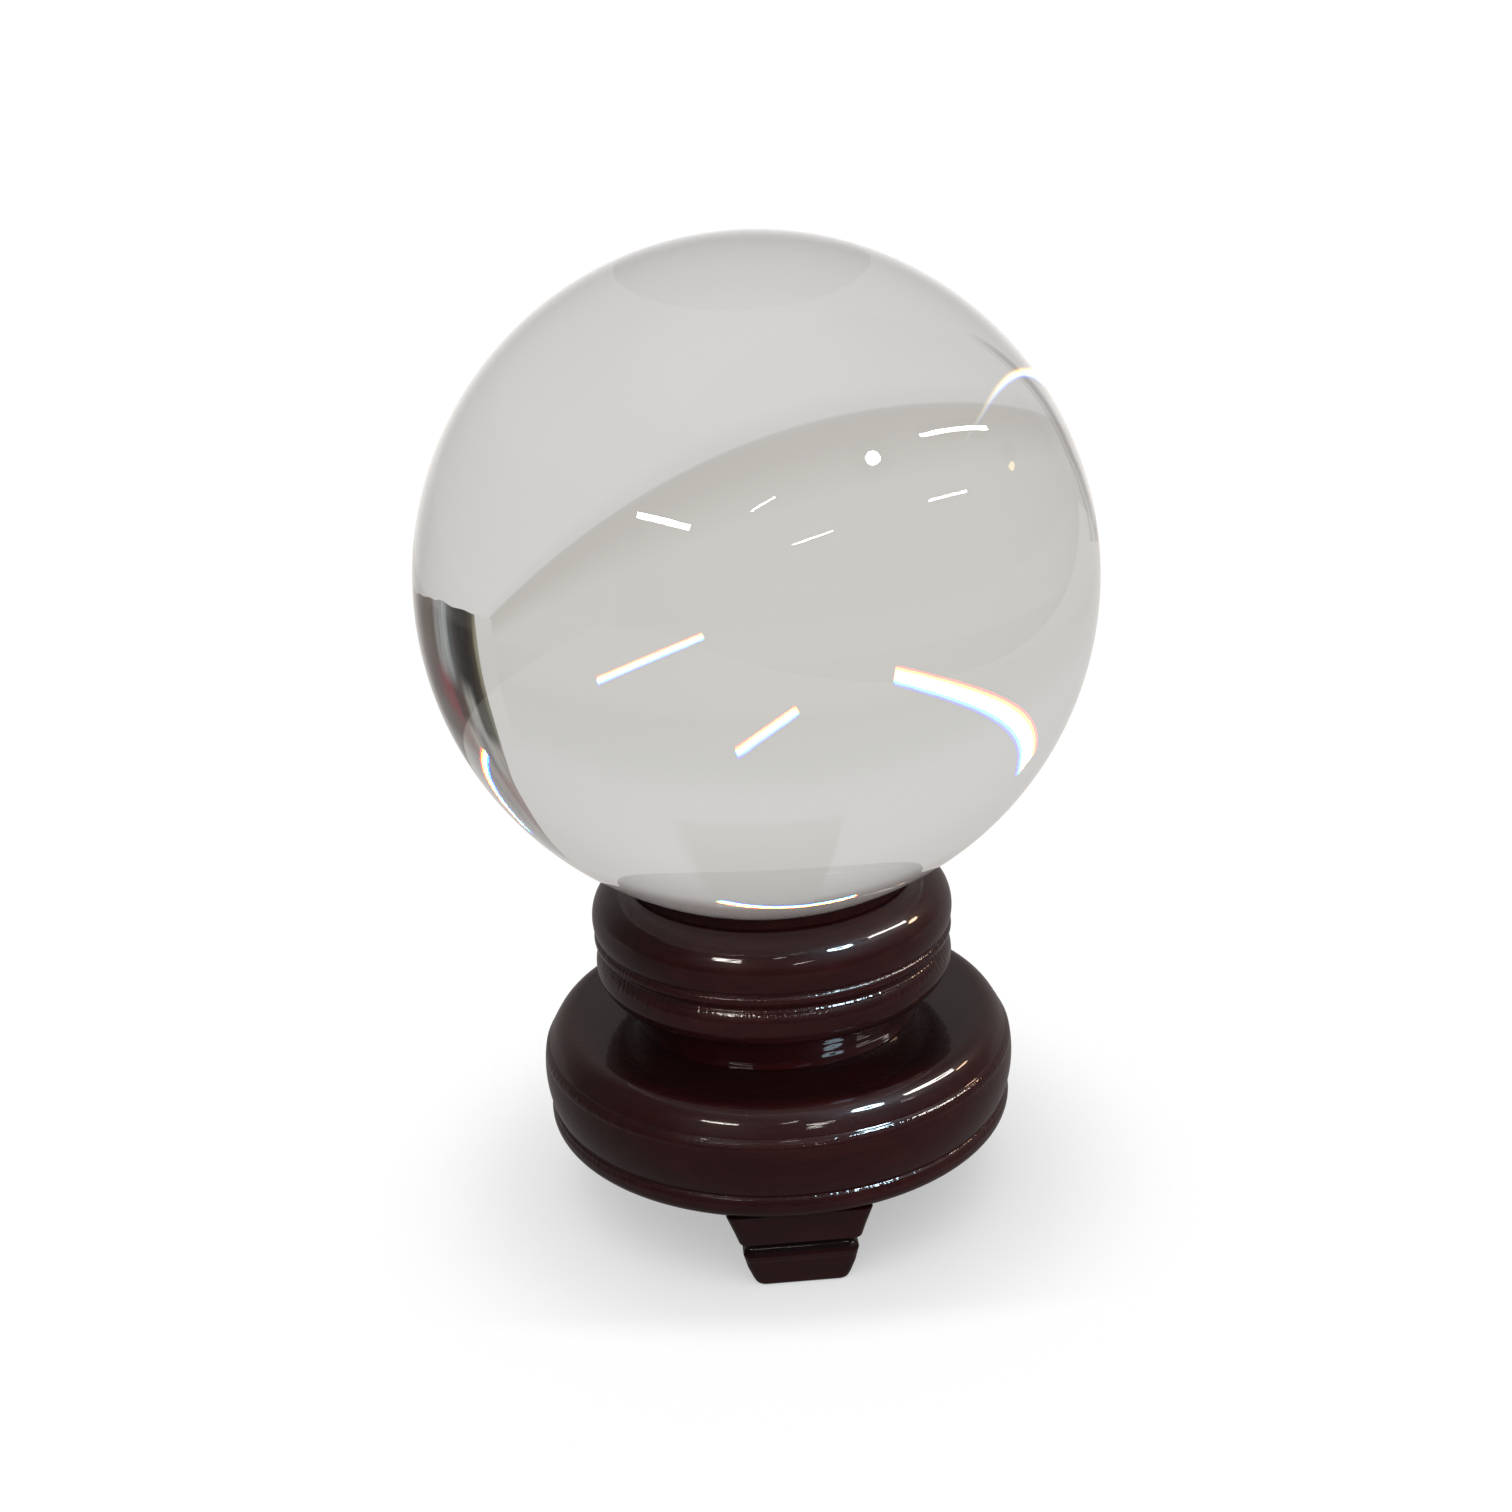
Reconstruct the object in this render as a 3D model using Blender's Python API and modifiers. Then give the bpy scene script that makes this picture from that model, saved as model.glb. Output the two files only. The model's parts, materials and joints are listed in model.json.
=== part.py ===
"""Clear glass ball on a turned, lacquered wooden stand with three feet.

World frame: metres, +Z up, origin on the floor plane under the ball's centre.
The front foot stands on the -Y side. Lengths below are in millimetres and are
turned into metres by MM. Profiles are lists of (radius, height) points.
"""

import math

import bmesh
import bpy
import numpy as np
from mathutils import Matrix, Vector

MM = 0.001

# ---------------------------------------------------------- shared dimensions
GAP = 0.3                 # clearance kept between pieces that touch

BALL_R = 50.0
BALL_Z = 98.5             # height of its centre above the floor
LINER_T = 1.0             # felt ring, measured square to the glass

TENON_R = 12.0            # peg under the collar that fits the disc's socket
TENON_Z = 19.8            # its lower end

DISC_TOP_Z = 29.1
DISC_UNDER_Z = 12.0

SCREW_R = 1.9
SCREW_HEAD_R = 4.2
SCREW_TIP_Z = 37.5
SCREW_HEAD_Z = DISC_UNDER_Z + 0.4    # face of the head, just inside the countersink
SCREW_HOLE_R = SCREW_R + GAP

TURN_STEPS = 40           # facets round each turned piece
SCREW_STEPS = 16          # facets round the screw
TURN_MERGE = 0.01         # points closer than this are merged


# ------------------------------------------------------------------- helpers
def clear_scene():
    for obj in list(bpy.data.objects):
        bpy.data.objects.remove(obj, do_unlink=True)


def new_collection(name):
    collection = bpy.data.collections.new(name)
    bpy.context.scene.collection.children.link(collection)
    return collection


def add_empty(name, collection, parent=None):
    obj = bpy.data.objects.new(name, None)
    obj.empty_display_size = 0.01
    obj.parent = parent
    collection.objects.link(obj)
    return obj


def add_mesh(name, bm, collection, parent=None, mat=None):
    mesh = bpy.data.meshes.new(name)
    bm.to_mesh(mesh)
    bm.free()
    obj = bpy.data.objects.new(name, mesh)
    collection.objects.link(obj)
    obj.parent = parent
    if mat is not None:
        mesh.materials.append(mat)
    return obj


def add_cutter(name, bm, collection, parent=None):
    obj = add_mesh(name, bm, collection, parent)
    obj.hide_render = True
    obj.display_type = "WIRE"
    return obj


def cut(obj, tool):
    boolean = obj.modifiers.new("Cut " + tool.name, "BOOLEAN")
    boolean.operation = "DIFFERENCE"
    boolean.solver = "EXACT"
    boolean.object = tool


def smooth(obj, degrees=35.0):
    obj.data.shade_smooth()
    obj.data.set_sharp_from_angle(angle=math.radians(degrees))


def arc(centre, radii, degrees, count):
    """Points on an ellipse between two angles; 0 points out, 90 up."""
    start, end = degrees
    points = []
    for i in range(count + 1):
        angle = math.radians(start + (end - start) * i / count)
        points.append((centre[0] + radii[0] * math.cos(angle),
                       centre[1] + radii[1] * math.sin(angle)))
    return points


def bowl(sphere_r, r_from, r_to, count=4):
    """Points on the lower half of a sphere round the ball's centre."""
    points = []
    for i in range(count + 1):
        r = r_from + (r_to - r_from) * i / count
        points.append((r, BALL_Z - math.sqrt(sphere_r * sphere_r - r * r)))
    return points


def add_turned(name, profile, collection, parent, mat, closed=False, steps=TURN_STEPS):
    """A profile in the XZ plane, spun about Z with a Screw modifier."""
    bm = bmesh.new()
    verts = [bm.verts.new((r * MM, 0.0, z * MM)) for r, z in profile]
    for pair in zip(verts, verts[1:]):
        bm.edges.new(pair)
    if closed:
        bm.edges.new((verts[-1], verts[0]))
    obj = add_mesh(name, bm, collection, parent, mat)
    turn = obj.modifiers.new("Turn", "SCREW")
    turn.axis = "Z"
    turn.angle = 2.0 * math.pi
    turn.steps = steps
    turn.render_steps = steps
    turn.use_merge_vertices = True
    turn.merge_threshold = TURN_MERGE * MM
    turn.use_smooth_shade = True
    return obj


# ----------------------------------------------------------------- materials
def material(name, colour, roughness, metallic=0.0, coat=0.0, transmission=0.0, ior=1.5):
    mat = bpy.data.materials.new(name)
    mat.use_nodes = True
    inputs = mat.node_tree.nodes["Principled BSDF"].inputs
    inputs["Base Color"].default_value = (*colour, 1.0)
    inputs["Roughness"].default_value = roughness
    inputs["Metallic"].default_value = metallic
    inputs["Coat Weight"].default_value = coat
    inputs["Transmission Weight"].default_value = transmission
    inputs["IOR"].default_value = ior
    mat.diffuse_color = (*colour, 1.0)
    return mat


def clear_glass():
    return material("clear_glass", colour=(0.93, 0.95, 0.95), roughness=0.0,
                    transmission=1.0, ior=1.52)


def maroon_felt():
    return material("maroon_felt", colour=(0.16, 0.02, 0.02), roughness=0.95)


def lacquered_wood(name):
    return material(name, colour=(0.040, 0.009, 0.009), roughness=0.16, coat=1.0)


def beech():
    return material("beech_dowel", colour=(0.55, 0.38, 0.22), roughness=0.65)


def zinc():
    return material("zinc_screw", colour=(0.62, 0.62, 0.60), roughness=0.35, metallic=1.0)


# -------------------------------------------------------------------- collar
COLLAR_R = 28.05          # widest point of the dome
COLLAR_Z = 46.1           # height of that widest point
DOME_R = 6.05             # section radius of the dome
DISH_R = BALL_R + GAP + LINER_T + GAP
WELL_R = 15.0             # flat-floored well in the middle of the dish
WELL_Z = 44.0
WELL_CHAMFER = 1.0
NECK_R = 22.2
TENON_CHAMFER = 0.8
PILOT_SHOULDER = 2.0      # pilot hole starts to taper this far below the screw's tip
PILOT_OVERRUN = 1.0       # and ends this far above it

# Columns: radius, depth below COLLAR_Z
UPPER_GROOVE = ((27.25, 1.20), (27.60, 1.60))
THIN_BEAD_CENTRE = (27.15, 2.45)
THIN_BEAD_RADII = (0.75, 0.90)
SECOND_GROOVE = ((27.10, 3.70), (27.50, 4.25))
WIDE_BEAD_CENTRE = (24.60, 6.90)
WIDE_BEAD_RADII = (3.25, 3.80)
# Columns: distance out from NECK_R, depth below COLLAR_Z
NECK = ((1.40, 11.05), (0.60, 12.00), (0.10, 13.40), (0.0, 14.60))
NECK_FOOT_FLARE = 0.35    # distance out from NECK_R where the neck meets the disc


def collar_profile():
    """From the middle of the well, out over the dish and dome, down to the tenon."""
    def below(point):
        return point[0], COLLAR_Z - point[1]

    dome_centre_r = COLLAR_R - DOME_R
    profile = [(0.0, WELL_Z), (WELL_R - WELL_CHAMFER, WELL_Z), (WELL_R, WELL_Z + WELL_CHAMFER)]
    profile += bowl(DISH_R, WELL_R, dome_centre_r)
    profile += arc((dome_centre_r, COLLAR_Z), (DOME_R, DOME_R), (88.0, -6.0), 11)
    profile += [below(point) for point in UPPER_GROOVE]
    profile += arc(below(THIN_BEAD_CENTRE), THIN_BEAD_RADII, (60.0, -60.0), 4)
    profile += [below(point) for point in SECOND_GROOVE]
    profile += arc(below(WIDE_BEAD_CENTRE), WIDE_BEAD_RADII, (38.0, -90.0), 9)
    profile += [(NECK_R + out, COLLAR_Z - depth) for out, depth in NECK]
    profile += [
        (NECK_R + NECK_FOOT_FLARE, DISC_TOP_Z + GAP),
        (TENON_R, DISC_TOP_Z + GAP),
        (TENON_R, TENON_Z + TENON_CHAMFER),
        (TENON_R - TENON_CHAMFER, TENON_Z),
        # pilot hole for the screw
        (SCREW_HOLE_R, TENON_Z),
        (SCREW_HOLE_R, SCREW_TIP_Z - PILOT_SHOULDER),
        (0.0, SCREW_TIP_Z + PILOT_OVERRUN),
    ]
    return profile


# ----------------------------------------------------------------- base disc
DISC_R = 37.25            # radius the side band and lower bead are measured from
DISC_FLAT_R = 32.2        # where the flat top ends
DISC_BAND_TOP_Z = 25.0
DISC_RIM_R = 36.05        # outer edge of the rounded rim
DISC_RIM_Z = DISC_BAND_TOP_Z + 0.7
RIM_STEP_RISE = 0.35      # fine step between rim and side band
RIM_STEP_OUT = 0.5
DISC_GROOVE_Z = 16.0      # groove between side band and lower bead
GROOVE_IN = 1.15          # groove bottom, in from DISC_R
GROOVE_LIP = 0.45         # height of the groove's upper and lower slopes
GROOVE_LIP_IN = 0.80      # its lower lip, in from DISC_R
BAND_STEPS = 6
BAND_CROWN = 0.42         # fraction of the way down where the band bulges most
BAND_BULGE = 0.70         # how far its lower edge falls in from the crown
BAND_TAPER = 0.10         # further narrowing from top to bottom
LOWER_BEAD_R = 2.25       # section radius
LOWER_BEAD_IN = 2.80      # section centre, in from DISC_R
SINK_R = SCREW_HEAD_R + 0.4          # countersink
SINK_Z = SCREW_HEAD_Z + 0.8          # where it starts to taper at 45 degrees


def side_band():
    """Bulging side, from just below the rim step to the groove's upper lip."""
    low = DISC_GROOVE_Z + GROOVE_LIP
    points = []
    for i in range(1, BAND_STEPS + 1):
        t = i / BAND_STEPS
        fall = BAND_BULGE * ((t - BAND_CROWN) / (1.0 - BAND_CROWN)) ** 2
        z = DISC_BAND_TOP_Z + (low - DISC_BAND_TOP_Z) * t
        points.append((DISC_R - fall - BAND_TAPER * t, z))
    return points


def disc_profile():
    """Closed loop: flat top, rim, side band, lower bead, underside, screw hole, socket."""
    socket_r = TENON_R + GAP
    socket_z = TENON_Z - GAP
    profile = [(socket_r, DISC_TOP_Z)]
    profile += arc((DISC_FLAT_R, DISC_RIM_Z),
                   (DISC_RIM_R - DISC_FLAT_R, DISC_TOP_Z - DISC_RIM_Z), (90.0, 0.0), 6)
    profile += [(DISC_RIM_R, DISC_BAND_TOP_Z + RIM_STEP_RISE),
                (DISC_RIM_R + RIM_STEP_OUT, DISC_BAND_TOP_Z)]
    profile += side_band()
    profile += [(DISC_R - GROOVE_IN, DISC_GROOVE_Z),
                (DISC_R - GROOVE_LIP_IN, DISC_GROOVE_Z - GROOVE_LIP)]
    profile += arc((DISC_R - LOWER_BEAD_IN, DISC_UNDER_Z + LOWER_BEAD_R),
                   (LOWER_BEAD_R, LOWER_BEAD_R), (28.0, -90.0), 6)
    profile += [
        (SINK_R, DISC_UNDER_Z),
        (SINK_R, SINK_Z),
        (SCREW_HOLE_R, SINK_Z + SINK_R - SCREW_HOLE_R),
        (SCREW_HOLE_R, socket_z),
        (socket_r, socket_z),
    ]
    return profile


# ------------------------------------------------------------ ball and liner
BALL_SEGMENTS = 48
BALL_RINGS = 24
LINER_R_LOW = 15.6        # radius of the liner's lower edge
LINER_R_HIGH = 22.1       # radius of its upper edge


def liner_profile():
    """Closed loop, square to the glass: up the glass side, down the wood side."""
    glass_side = BALL_R + GAP
    return (bowl(glass_side, LINER_R_LOW, LINER_R_HIGH)
            + bowl(glass_side + LINER_T, LINER_R_HIGH, LINER_R_LOW))


def add_ball(parts, parent):
    """The ball, with its origin at its centre."""
    bm = bmesh.new()
    bmesh.ops.create_uvsphere(bm, u_segments=BALL_SEGMENTS, v_segments=BALL_RINGS,
                              radius=BALL_R * MM)
    ball = add_mesh("crystal_ball", bm, parts, parent, clear_glass())
    ball.location = (0.0, 0.0, BALL_Z * MM)
    smooth(ball, 60.0)


# --------------------------------------------------------------------- screw
TIP_R = 0.7
TIP_LENGTH = 1.2
THREAD_START = 2.4        # first thread root, below the tip
THREAD_PITCH = 1.6
THREAD_DEPTH = 0.45
THREAD_END_Z = SCREW_HEAD_Z + 11.0
SHANK_R = SCREW_R - 0.3
HEAD_EDGE = 0.5           # straight edge of the head
HEAD_TAPER = SCREW_HEAD_R - SHANK_R
RECESS_SIZE = (4.2, 0.9, 3.0)        # each slot of the cross, centred on the head's face
RECESS_TURN = 20.0        # degrees


def screw_profile():
    """From the axis at the tip, down the thread to the head, back to the axis."""
    profile = [(0.0, SCREW_TIP_Z), (TIP_R, SCREW_TIP_Z - TIP_LENGTH)]
    z = SCREW_TIP_Z - THREAD_START
    while z > THREAD_END_Z:
        profile += [(SCREW_R - THREAD_DEPTH, z), (SCREW_R, z - 0.5 * THREAD_PITCH)]
        z -= THREAD_PITCH
    profile += [
        (SHANK_R, z),
        (SHANK_R, SCREW_HEAD_Z + HEAD_EDGE + HEAD_TAPER),
        (SCREW_HEAD_R, SCREW_HEAD_Z + HEAD_EDGE),
        (SCREW_HEAD_R, SCREW_HEAD_Z),
        (0.0, SCREW_HEAD_Z),
    ]
    return profile


def cut_cross_recess(screw, cutters):
    for i in range(2):
        turn = Matrix.Rotation(math.radians(90.0 * i + RECESS_TURN), 3, "Z")
        bm = bmesh.new()
        bmesh.ops.create_cube(bm, size=1.0)
        bmesh.ops.scale(bm, vec=Vector(RECESS_SIZE) * MM, verts=bm.verts[:])
        bmesh.ops.rotate(bm, cent=(0, 0, 0), verts=bm.verts[:], matrix=turn)
        bmesh.ops.translate(bm, vec=(0, 0, SCREW_HEAD_Z * MM), verts=bm.verts[:])
        cut(screw, add_cutter("recess_%d" % i, bm, cutters))


# ---------------------------------------------------------------------- feet
FOOT_ANGLES = {"front": 0.0, "rear_right": 120.0, "rear_left": 240.0}
FOOT_TOP_Z = DISC_UNDER_Z - GAP
FOOT_OUT = 34.4           # radial distance of the front face
FOOT_DEEP = 14.5          # front to back, at the top
FOOT_BACK_LEAN = 0.35     # the back face is this much further out at the floor
FOOT_CORNER = 1.3         # corner radius of the foot's plan
FOOT_SEGMENTS = 20        # points round the plan, shared by four corners
TOE_HEIGHT = 0.7
TOE_IN = 0.45             # how far the toe is set back at the floor
COVE_LOW, COVE_HIGH = 5.0, 6.5
COVE_DEPTH = 0.95

# Heights between floor and top where the foot's plan is set
FOOT_LEVELS = (0.35, 1.1, 2.8, 4.5, 5.1, 5.5, 5.95, 6.35, 6.8, 8.8)
# Columns: height, half width; narrow at the floor, flaring to the disc
FOOT_HALF_WIDTHS = (
    (0.0, 6.60), (0.35, 6.95), (1.1, 7.35), (2.8, 8.05),
    (5.1, 8.65), (6.8, 9.05), (8.8, 9.75), (FOOT_TOP_Z, 10.90),
)


def foot_front(z):
    """Radial distance of the front face: set-back toe, cove groove, upright face."""
    if z < TOE_HEIGHT:
        return FOOT_OUT - TOE_IN * (1.0 - z / TOE_HEIGHT)
    if COVE_LOW < z < COVE_HIGH:
        across = (z - COVE_LOW) / (COVE_HIGH - COVE_LOW)
        return FOOT_OUT - COVE_DEPTH * math.sin(math.pi * across)
    return FOOT_OUT


def foot_mesh():
    """A cylinder cut into layers, each layer pulled out to a rounded rectangle."""
    bm = bmesh.new()
    bmesh.ops.create_cone(
        bm, cap_ends=True, segments=FOOT_SEGMENTS, radius1=1.0, radius2=1.0,
        depth=FOOT_TOP_Z, matrix=Matrix.Translation((0.0, 0.0, 0.5 * FOOT_TOP_Z)),
    )
    for z in FOOT_LEVELS:
        geometry = bm.verts[:] + bm.edges[:] + bm.faces[:]
        bmesh.ops.bisect_plane(bm, geom=geometry, plane_co=(0, 0, z), plane_no=(0, 0, 1))
    heights, half_widths = zip(*FOOT_HALF_WIDTHS)
    per_corner = FOOT_SEGMENTS // 4
    for vert in bm.verts:
        x, y, z = vert.co
        # which corner the point belongs to, and its place round that corner
        angle = math.degrees(math.atan2(y, x)) % 360.0
        step = round(angle * FOOT_SEGMENTS / 360.0) % FOOT_SEGMENTS
        corner, place = divmod(step, per_corner)
        turn = math.radians(90.0 * corner + 90.0 * place / (per_corner - 1))
        side_x = 1.0 if corner in (0, 3) else -1.0
        side_y = 1.0 if corner in (0, 1) else -1.0
        front = foot_front(z)
        back = FOOT_OUT - FOOT_DEEP + FOOT_BACK_LEAN * (1.0 - z / FOOT_TOP_Z)
        corner_x = side_x * (float(np.interp(z, heights, half_widths)) - FOOT_CORNER)
        corner_y = -0.5 * (front + back) + side_y * (0.5 * (front - back) - FOOT_CORNER)
        vert.co = Vector((corner_x + FOOT_CORNER * math.cos(turn),
                          corner_y + FOOT_CORNER * math.sin(turn), z)) * MM
    bmesh.ops.recalc_face_normals(bm, faces=bm.faces[:])
    return bm


# -------------------------------------------------------------------- dowels
DOWEL_R = 1.8
DOWEL_LOW, DOWEL_HIGH = 6.2, 17.4
DOWEL_APART = 9.0         # between a foot's two dowels
DOWEL_OUT = 27.0          # distance of the pair out from the stand's axis
DOWEL_SEGMENTS = 12
DOWEL_CHAMFER = 0.4


def dowel_mesh(x, clearance=0.0):
    low, high = DOWEL_LOW - clearance, DOWEL_HIGH + clearance
    radius = (DOWEL_R + clearance) * MM
    centre = Vector((x, -DOWEL_OUT, 0.5 * (low + high))) * MM
    bm = bmesh.new()
    bmesh.ops.create_cone(
        bm, cap_ends=True, segments=DOWEL_SEGMENTS, radius1=radius, radius2=radius,
        depth=(high - low) * MM, matrix=Matrix.Translation(centre),
    )
    return bm


def add_dowel(name, x, parts, hub, mat):
    dowel = add_mesh(name, dowel_mesh(x), parts, hub, mat)
    bevel = dowel.modifiers.new("Chamfer", "BEVEL")
    bevel.width = DOWEL_CHAMFER * MM
    bevel.segments = 1
    bevel.limit_method = "ANGLE"
    bevel.angle_limit = math.radians(50.0)
    smooth(dowel)


def add_feet(disc, parts, cutters, stand):
    """Each foot with its two dowels, and their holes in foot and disc."""
    wood = lacquered_wood("foot_wood")
    dowel_wood = beech()
    for name, angle in FOOT_ANGLES.items():
        hub = add_empty("foot_%s_hub" % name, parts, stand)
        hub.rotation_euler = (0.0, 0.0, math.radians(angle))
        foot = add_mesh("foot_" + name, foot_mesh(), parts, hub, wood)
        smooth(foot)
        for side, x in (("a", -0.5 * DOWEL_APART), ("b", 0.5 * DOWEL_APART)):
            place = "%s_%s" % (name, side)
            add_dowel("dowel_" + place, x, parts, hub, dowel_wood)
            hole = add_cutter("hole_" + place, dowel_mesh(x, GAP), cutters, hub)
            cut(foot, hole)
            cut(disc, hole)


# --------------------------------------------------------------------- build
def build():
    clear_scene()
    parts = new_collection("crystal_ball_on_stand")
    cutters = new_collection("cutters")
    stand = add_empty("stand", parts)
    seat_axis = add_empty("seat_axis", parts, stand)

    add_turned("collar", collar_profile(), parts, stand, lacquered_wood("collar_wood"))
    disc = add_turned("base_disc", disc_profile(), parts, stand,
                      lacquered_wood("disc_wood"), closed=True)
    add_turned("seat_liner", liner_profile(), parts, seat_axis, maroon_felt(), closed=True)
    screw = add_turned("collar_screw", screw_profile(), parts, stand, zinc(),
                       steps=SCREW_STEPS)
    cut_cross_recess(screw, cutters)
    add_feet(disc, parts, cutters, stand)
    add_ball(parts, seat_axis)


build()
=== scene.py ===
"""Crystal ball on a turned and lacquered wooden stand, with its studio.

The stand's axis is Z and the floor is z = 0. The front foot points to -Y, where the camera is.
Blender works in metres. Turned profiles are lists of (radius, height) points.
"""

import json
import math

import bpy
import bmesh
import numpy as np
from mathutils import Matrix, Vector

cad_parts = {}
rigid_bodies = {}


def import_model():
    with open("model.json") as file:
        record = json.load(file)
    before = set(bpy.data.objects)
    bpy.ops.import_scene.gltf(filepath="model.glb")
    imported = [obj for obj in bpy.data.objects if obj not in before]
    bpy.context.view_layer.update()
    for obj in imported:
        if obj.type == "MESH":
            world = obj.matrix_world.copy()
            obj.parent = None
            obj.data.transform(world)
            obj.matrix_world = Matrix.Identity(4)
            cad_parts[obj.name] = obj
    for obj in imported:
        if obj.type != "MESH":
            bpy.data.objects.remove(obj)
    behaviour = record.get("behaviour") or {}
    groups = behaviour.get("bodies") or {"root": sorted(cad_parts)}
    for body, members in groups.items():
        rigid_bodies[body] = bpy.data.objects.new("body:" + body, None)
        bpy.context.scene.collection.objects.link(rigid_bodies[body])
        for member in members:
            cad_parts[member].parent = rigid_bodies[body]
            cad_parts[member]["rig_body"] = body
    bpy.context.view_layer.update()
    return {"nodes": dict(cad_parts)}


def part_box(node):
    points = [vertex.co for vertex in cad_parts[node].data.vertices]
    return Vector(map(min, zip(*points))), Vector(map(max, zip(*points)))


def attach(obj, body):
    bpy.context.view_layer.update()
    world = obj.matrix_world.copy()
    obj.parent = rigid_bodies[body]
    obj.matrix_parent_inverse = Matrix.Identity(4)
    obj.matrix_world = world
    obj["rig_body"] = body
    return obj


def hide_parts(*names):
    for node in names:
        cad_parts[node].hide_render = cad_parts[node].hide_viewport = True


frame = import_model()
MM = 0.001


# ------------------------------------------------------------------------------------------
# sizes taken from the frame, in metres
# ------------------------------------------------------------------------------------------
ball_lo, ball_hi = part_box("crystal_ball")
liner_lo, liner_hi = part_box("seat_liner")
disc_lo, disc_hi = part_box("base_disc")
foot_lo, foot_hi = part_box("foot_front")
screw_lo, screw_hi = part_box("collar_screw")

BALL_R = (ball_hi.z - ball_lo.z) / 2
BALL_C = Vector((0.0, 0.0, (ball_hi.z + ball_lo.z) / 2))
DISC_R = (disc_hi.x - disc_lo.x) / 2
DISC_TOP = disc_hi.z
DISC_UNDER = disc_lo.z
LINER_OUT = (liner_hi.x - liner_lo.x) / 2
FOOT_FRONT = -foot_lo.y  # distances from the stand's axis
FOOT_BACK = -foot_hi.y
FOOT_TOP = foot_hi.z


# ------------------------------------------------------------------------------------------
# profile helpers
# ------------------------------------------------------------------------------------------
PROFILE_STEP = 0.0011  # longest straight run of a turned profile, in metres


def mm(points):
    return [(r * MM, z * MM) for r, z in points]


def arc(centre_r, centre_z, radius_r, radius_z, start, end, count):
    """Points of an ellipse arc in the r-z plane, angles in degrees from the +r direction."""
    points = []
    for i in range(count + 1):
        a = math.radians(start + (end - start) * i / count)
        points.append((centre_r + radius_r * math.cos(a), centre_z + radius_z * math.sin(a)))
    return points


def bezier(start, bend, end, t):
    return (1 - t) ** 2 * start + 2 * t * (1 - t) * bend + t * t * end


def resample(points, step):
    """Splits long straight runs into pieces no longer than step."""
    out = [points[0]]
    for a, b in zip(points, points[1:]):
        count = max(1, int(math.ceil(math.dist(a, b) / step)))
        for i in range(1, count + 1):
            t = i / count
            out.append((a[0] + (b[0] - a[0]) * t, a[1] + (b[1] - a[1]) * t))
    return out


def round_corners(points, radius, count=4, least_turn=24):
    """Breaks every sharp corner of an open profile with a small curve, as lacquer does."""
    out = [points[0]]
    for i in range(1, len(points) - 1):
        before, corner, after = (np.array(points[j], float) for j in (i - 1, i, i + 1))
        u, v = before - corner, after - corner
        length_u, length_v = np.linalg.norm(u), np.linalg.norm(v)
        turn = math.degrees(math.acos(np.clip(-(u @ v) / length_u / length_v, -1, 1)))
        if turn < least_turn:
            out.append(tuple(corner))
            continue
        cut = min(radius, length_u * 0.45, length_v * 0.45)
        start, end = corner + u / length_u * cut, corner + v / length_v * cut
        out += [tuple(bezier(start, corner, end, k / count)) for k in range(count + 1)]
    out.append(points[-1])
    return out


# ------------------------------------------------------------------------------------------
# mesh helpers
# ------------------------------------------------------------------------------------------
def add_object(name, data):
    obj = bpy.data.objects.new(name, data)
    bpy.context.scene.collection.objects.link(obj)
    return obj


def new_object(name, verts, faces):
    mesh = bpy.data.meshes.new(name)
    mesh.from_pydata([tuple(v) for v in verts], [], faces)
    mesh.validate()
    return add_object(name, mesh)


def shade_smooth(obj):
    for polygon in obj.data.polygons:
        polygon.use_smooth = True


def face_outward(obj, weld=None):
    """Turns all normals outward, after welding vertices closer than weld."""
    bm = bmesh.new()
    bm.from_mesh(obj.data)
    if weld is not None:
        bmesh.ops.remove_doubles(bm, verts=bm.verts, dist=weld)
    bmesh.ops.recalc_face_normals(bm, faces=bm.faces)
    bm.to_mesh(obj.data)
    bm.free()


def tidy(obj, sharp=32.0):
    """Outward normals, smooth shading and hard edges where two faces meet steeply."""
    face_outward(obj, weld=1e-7)
    shade_smooth(obj)
    obj.data.set_sharp_from_angle(angle=math.radians(sharp))
    return obj


def bridge(rings, closed=False, flip=False):
    """Faces between neighbouring rings of vertex numbers; a ring of one vertex is a tip."""
    pairs = list(zip(rings, rings[1:])) + ([(rings[-1], rings[0])] if closed else [])
    faces = []
    for lower, upper in pairs:
        steps = max(len(lower), len(upper))
        for k in range(steps):
            k2 = (k + 1) % steps
            if len(lower) == 1:
                face = (lower[0], upper[k], upper[k2])
            elif len(upper) == 1:
                face = (lower[k], upper[0], lower[k2])
            else:
                face = (lower[k], upper[k], upper[k2], lower[k2])
            faces.append((face[0], *face[:0:-1]) if flip else face)
    return faces


def stack_rings(rows, closed=False, flip=False):
    """Vertices and faces of rings about Z. A row is (height, radii); one radius is a tip."""
    verts, rings = [], []
    for z, radii in rows:
        rings.append(range(len(verts), len(verts) + len(radii)))
        for k, r in enumerate(radii):
            a = 2 * math.pi * k / len(radii)
            verts.append((r * math.cos(a), r * math.sin(a), z))
    return verts, bridge(rings, closed, flip)


def lathe(name, profile, steps, wobble):
    """Turns a profile (metres) about Z. A closed profile makes a ring, one that starts and
    ends on the axis a solid. wobble(r, z, a) adds a little to the radius at angle a."""
    closed = math.dist(profile[0], profile[-1]) < 1e-9
    rows = []
    for r, z in profile[:-1] if closed else profile:
        if r < 1e-9:
            rows.append((z, [0.0]))
        else:
            angles = (2 * math.pi * k / steps for k in range(steps))
            rows.append((z, [r + wobble(r, z, a) for a in angles]))
    return tidy(new_object(name, *stack_rings(rows, closed)))


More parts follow.
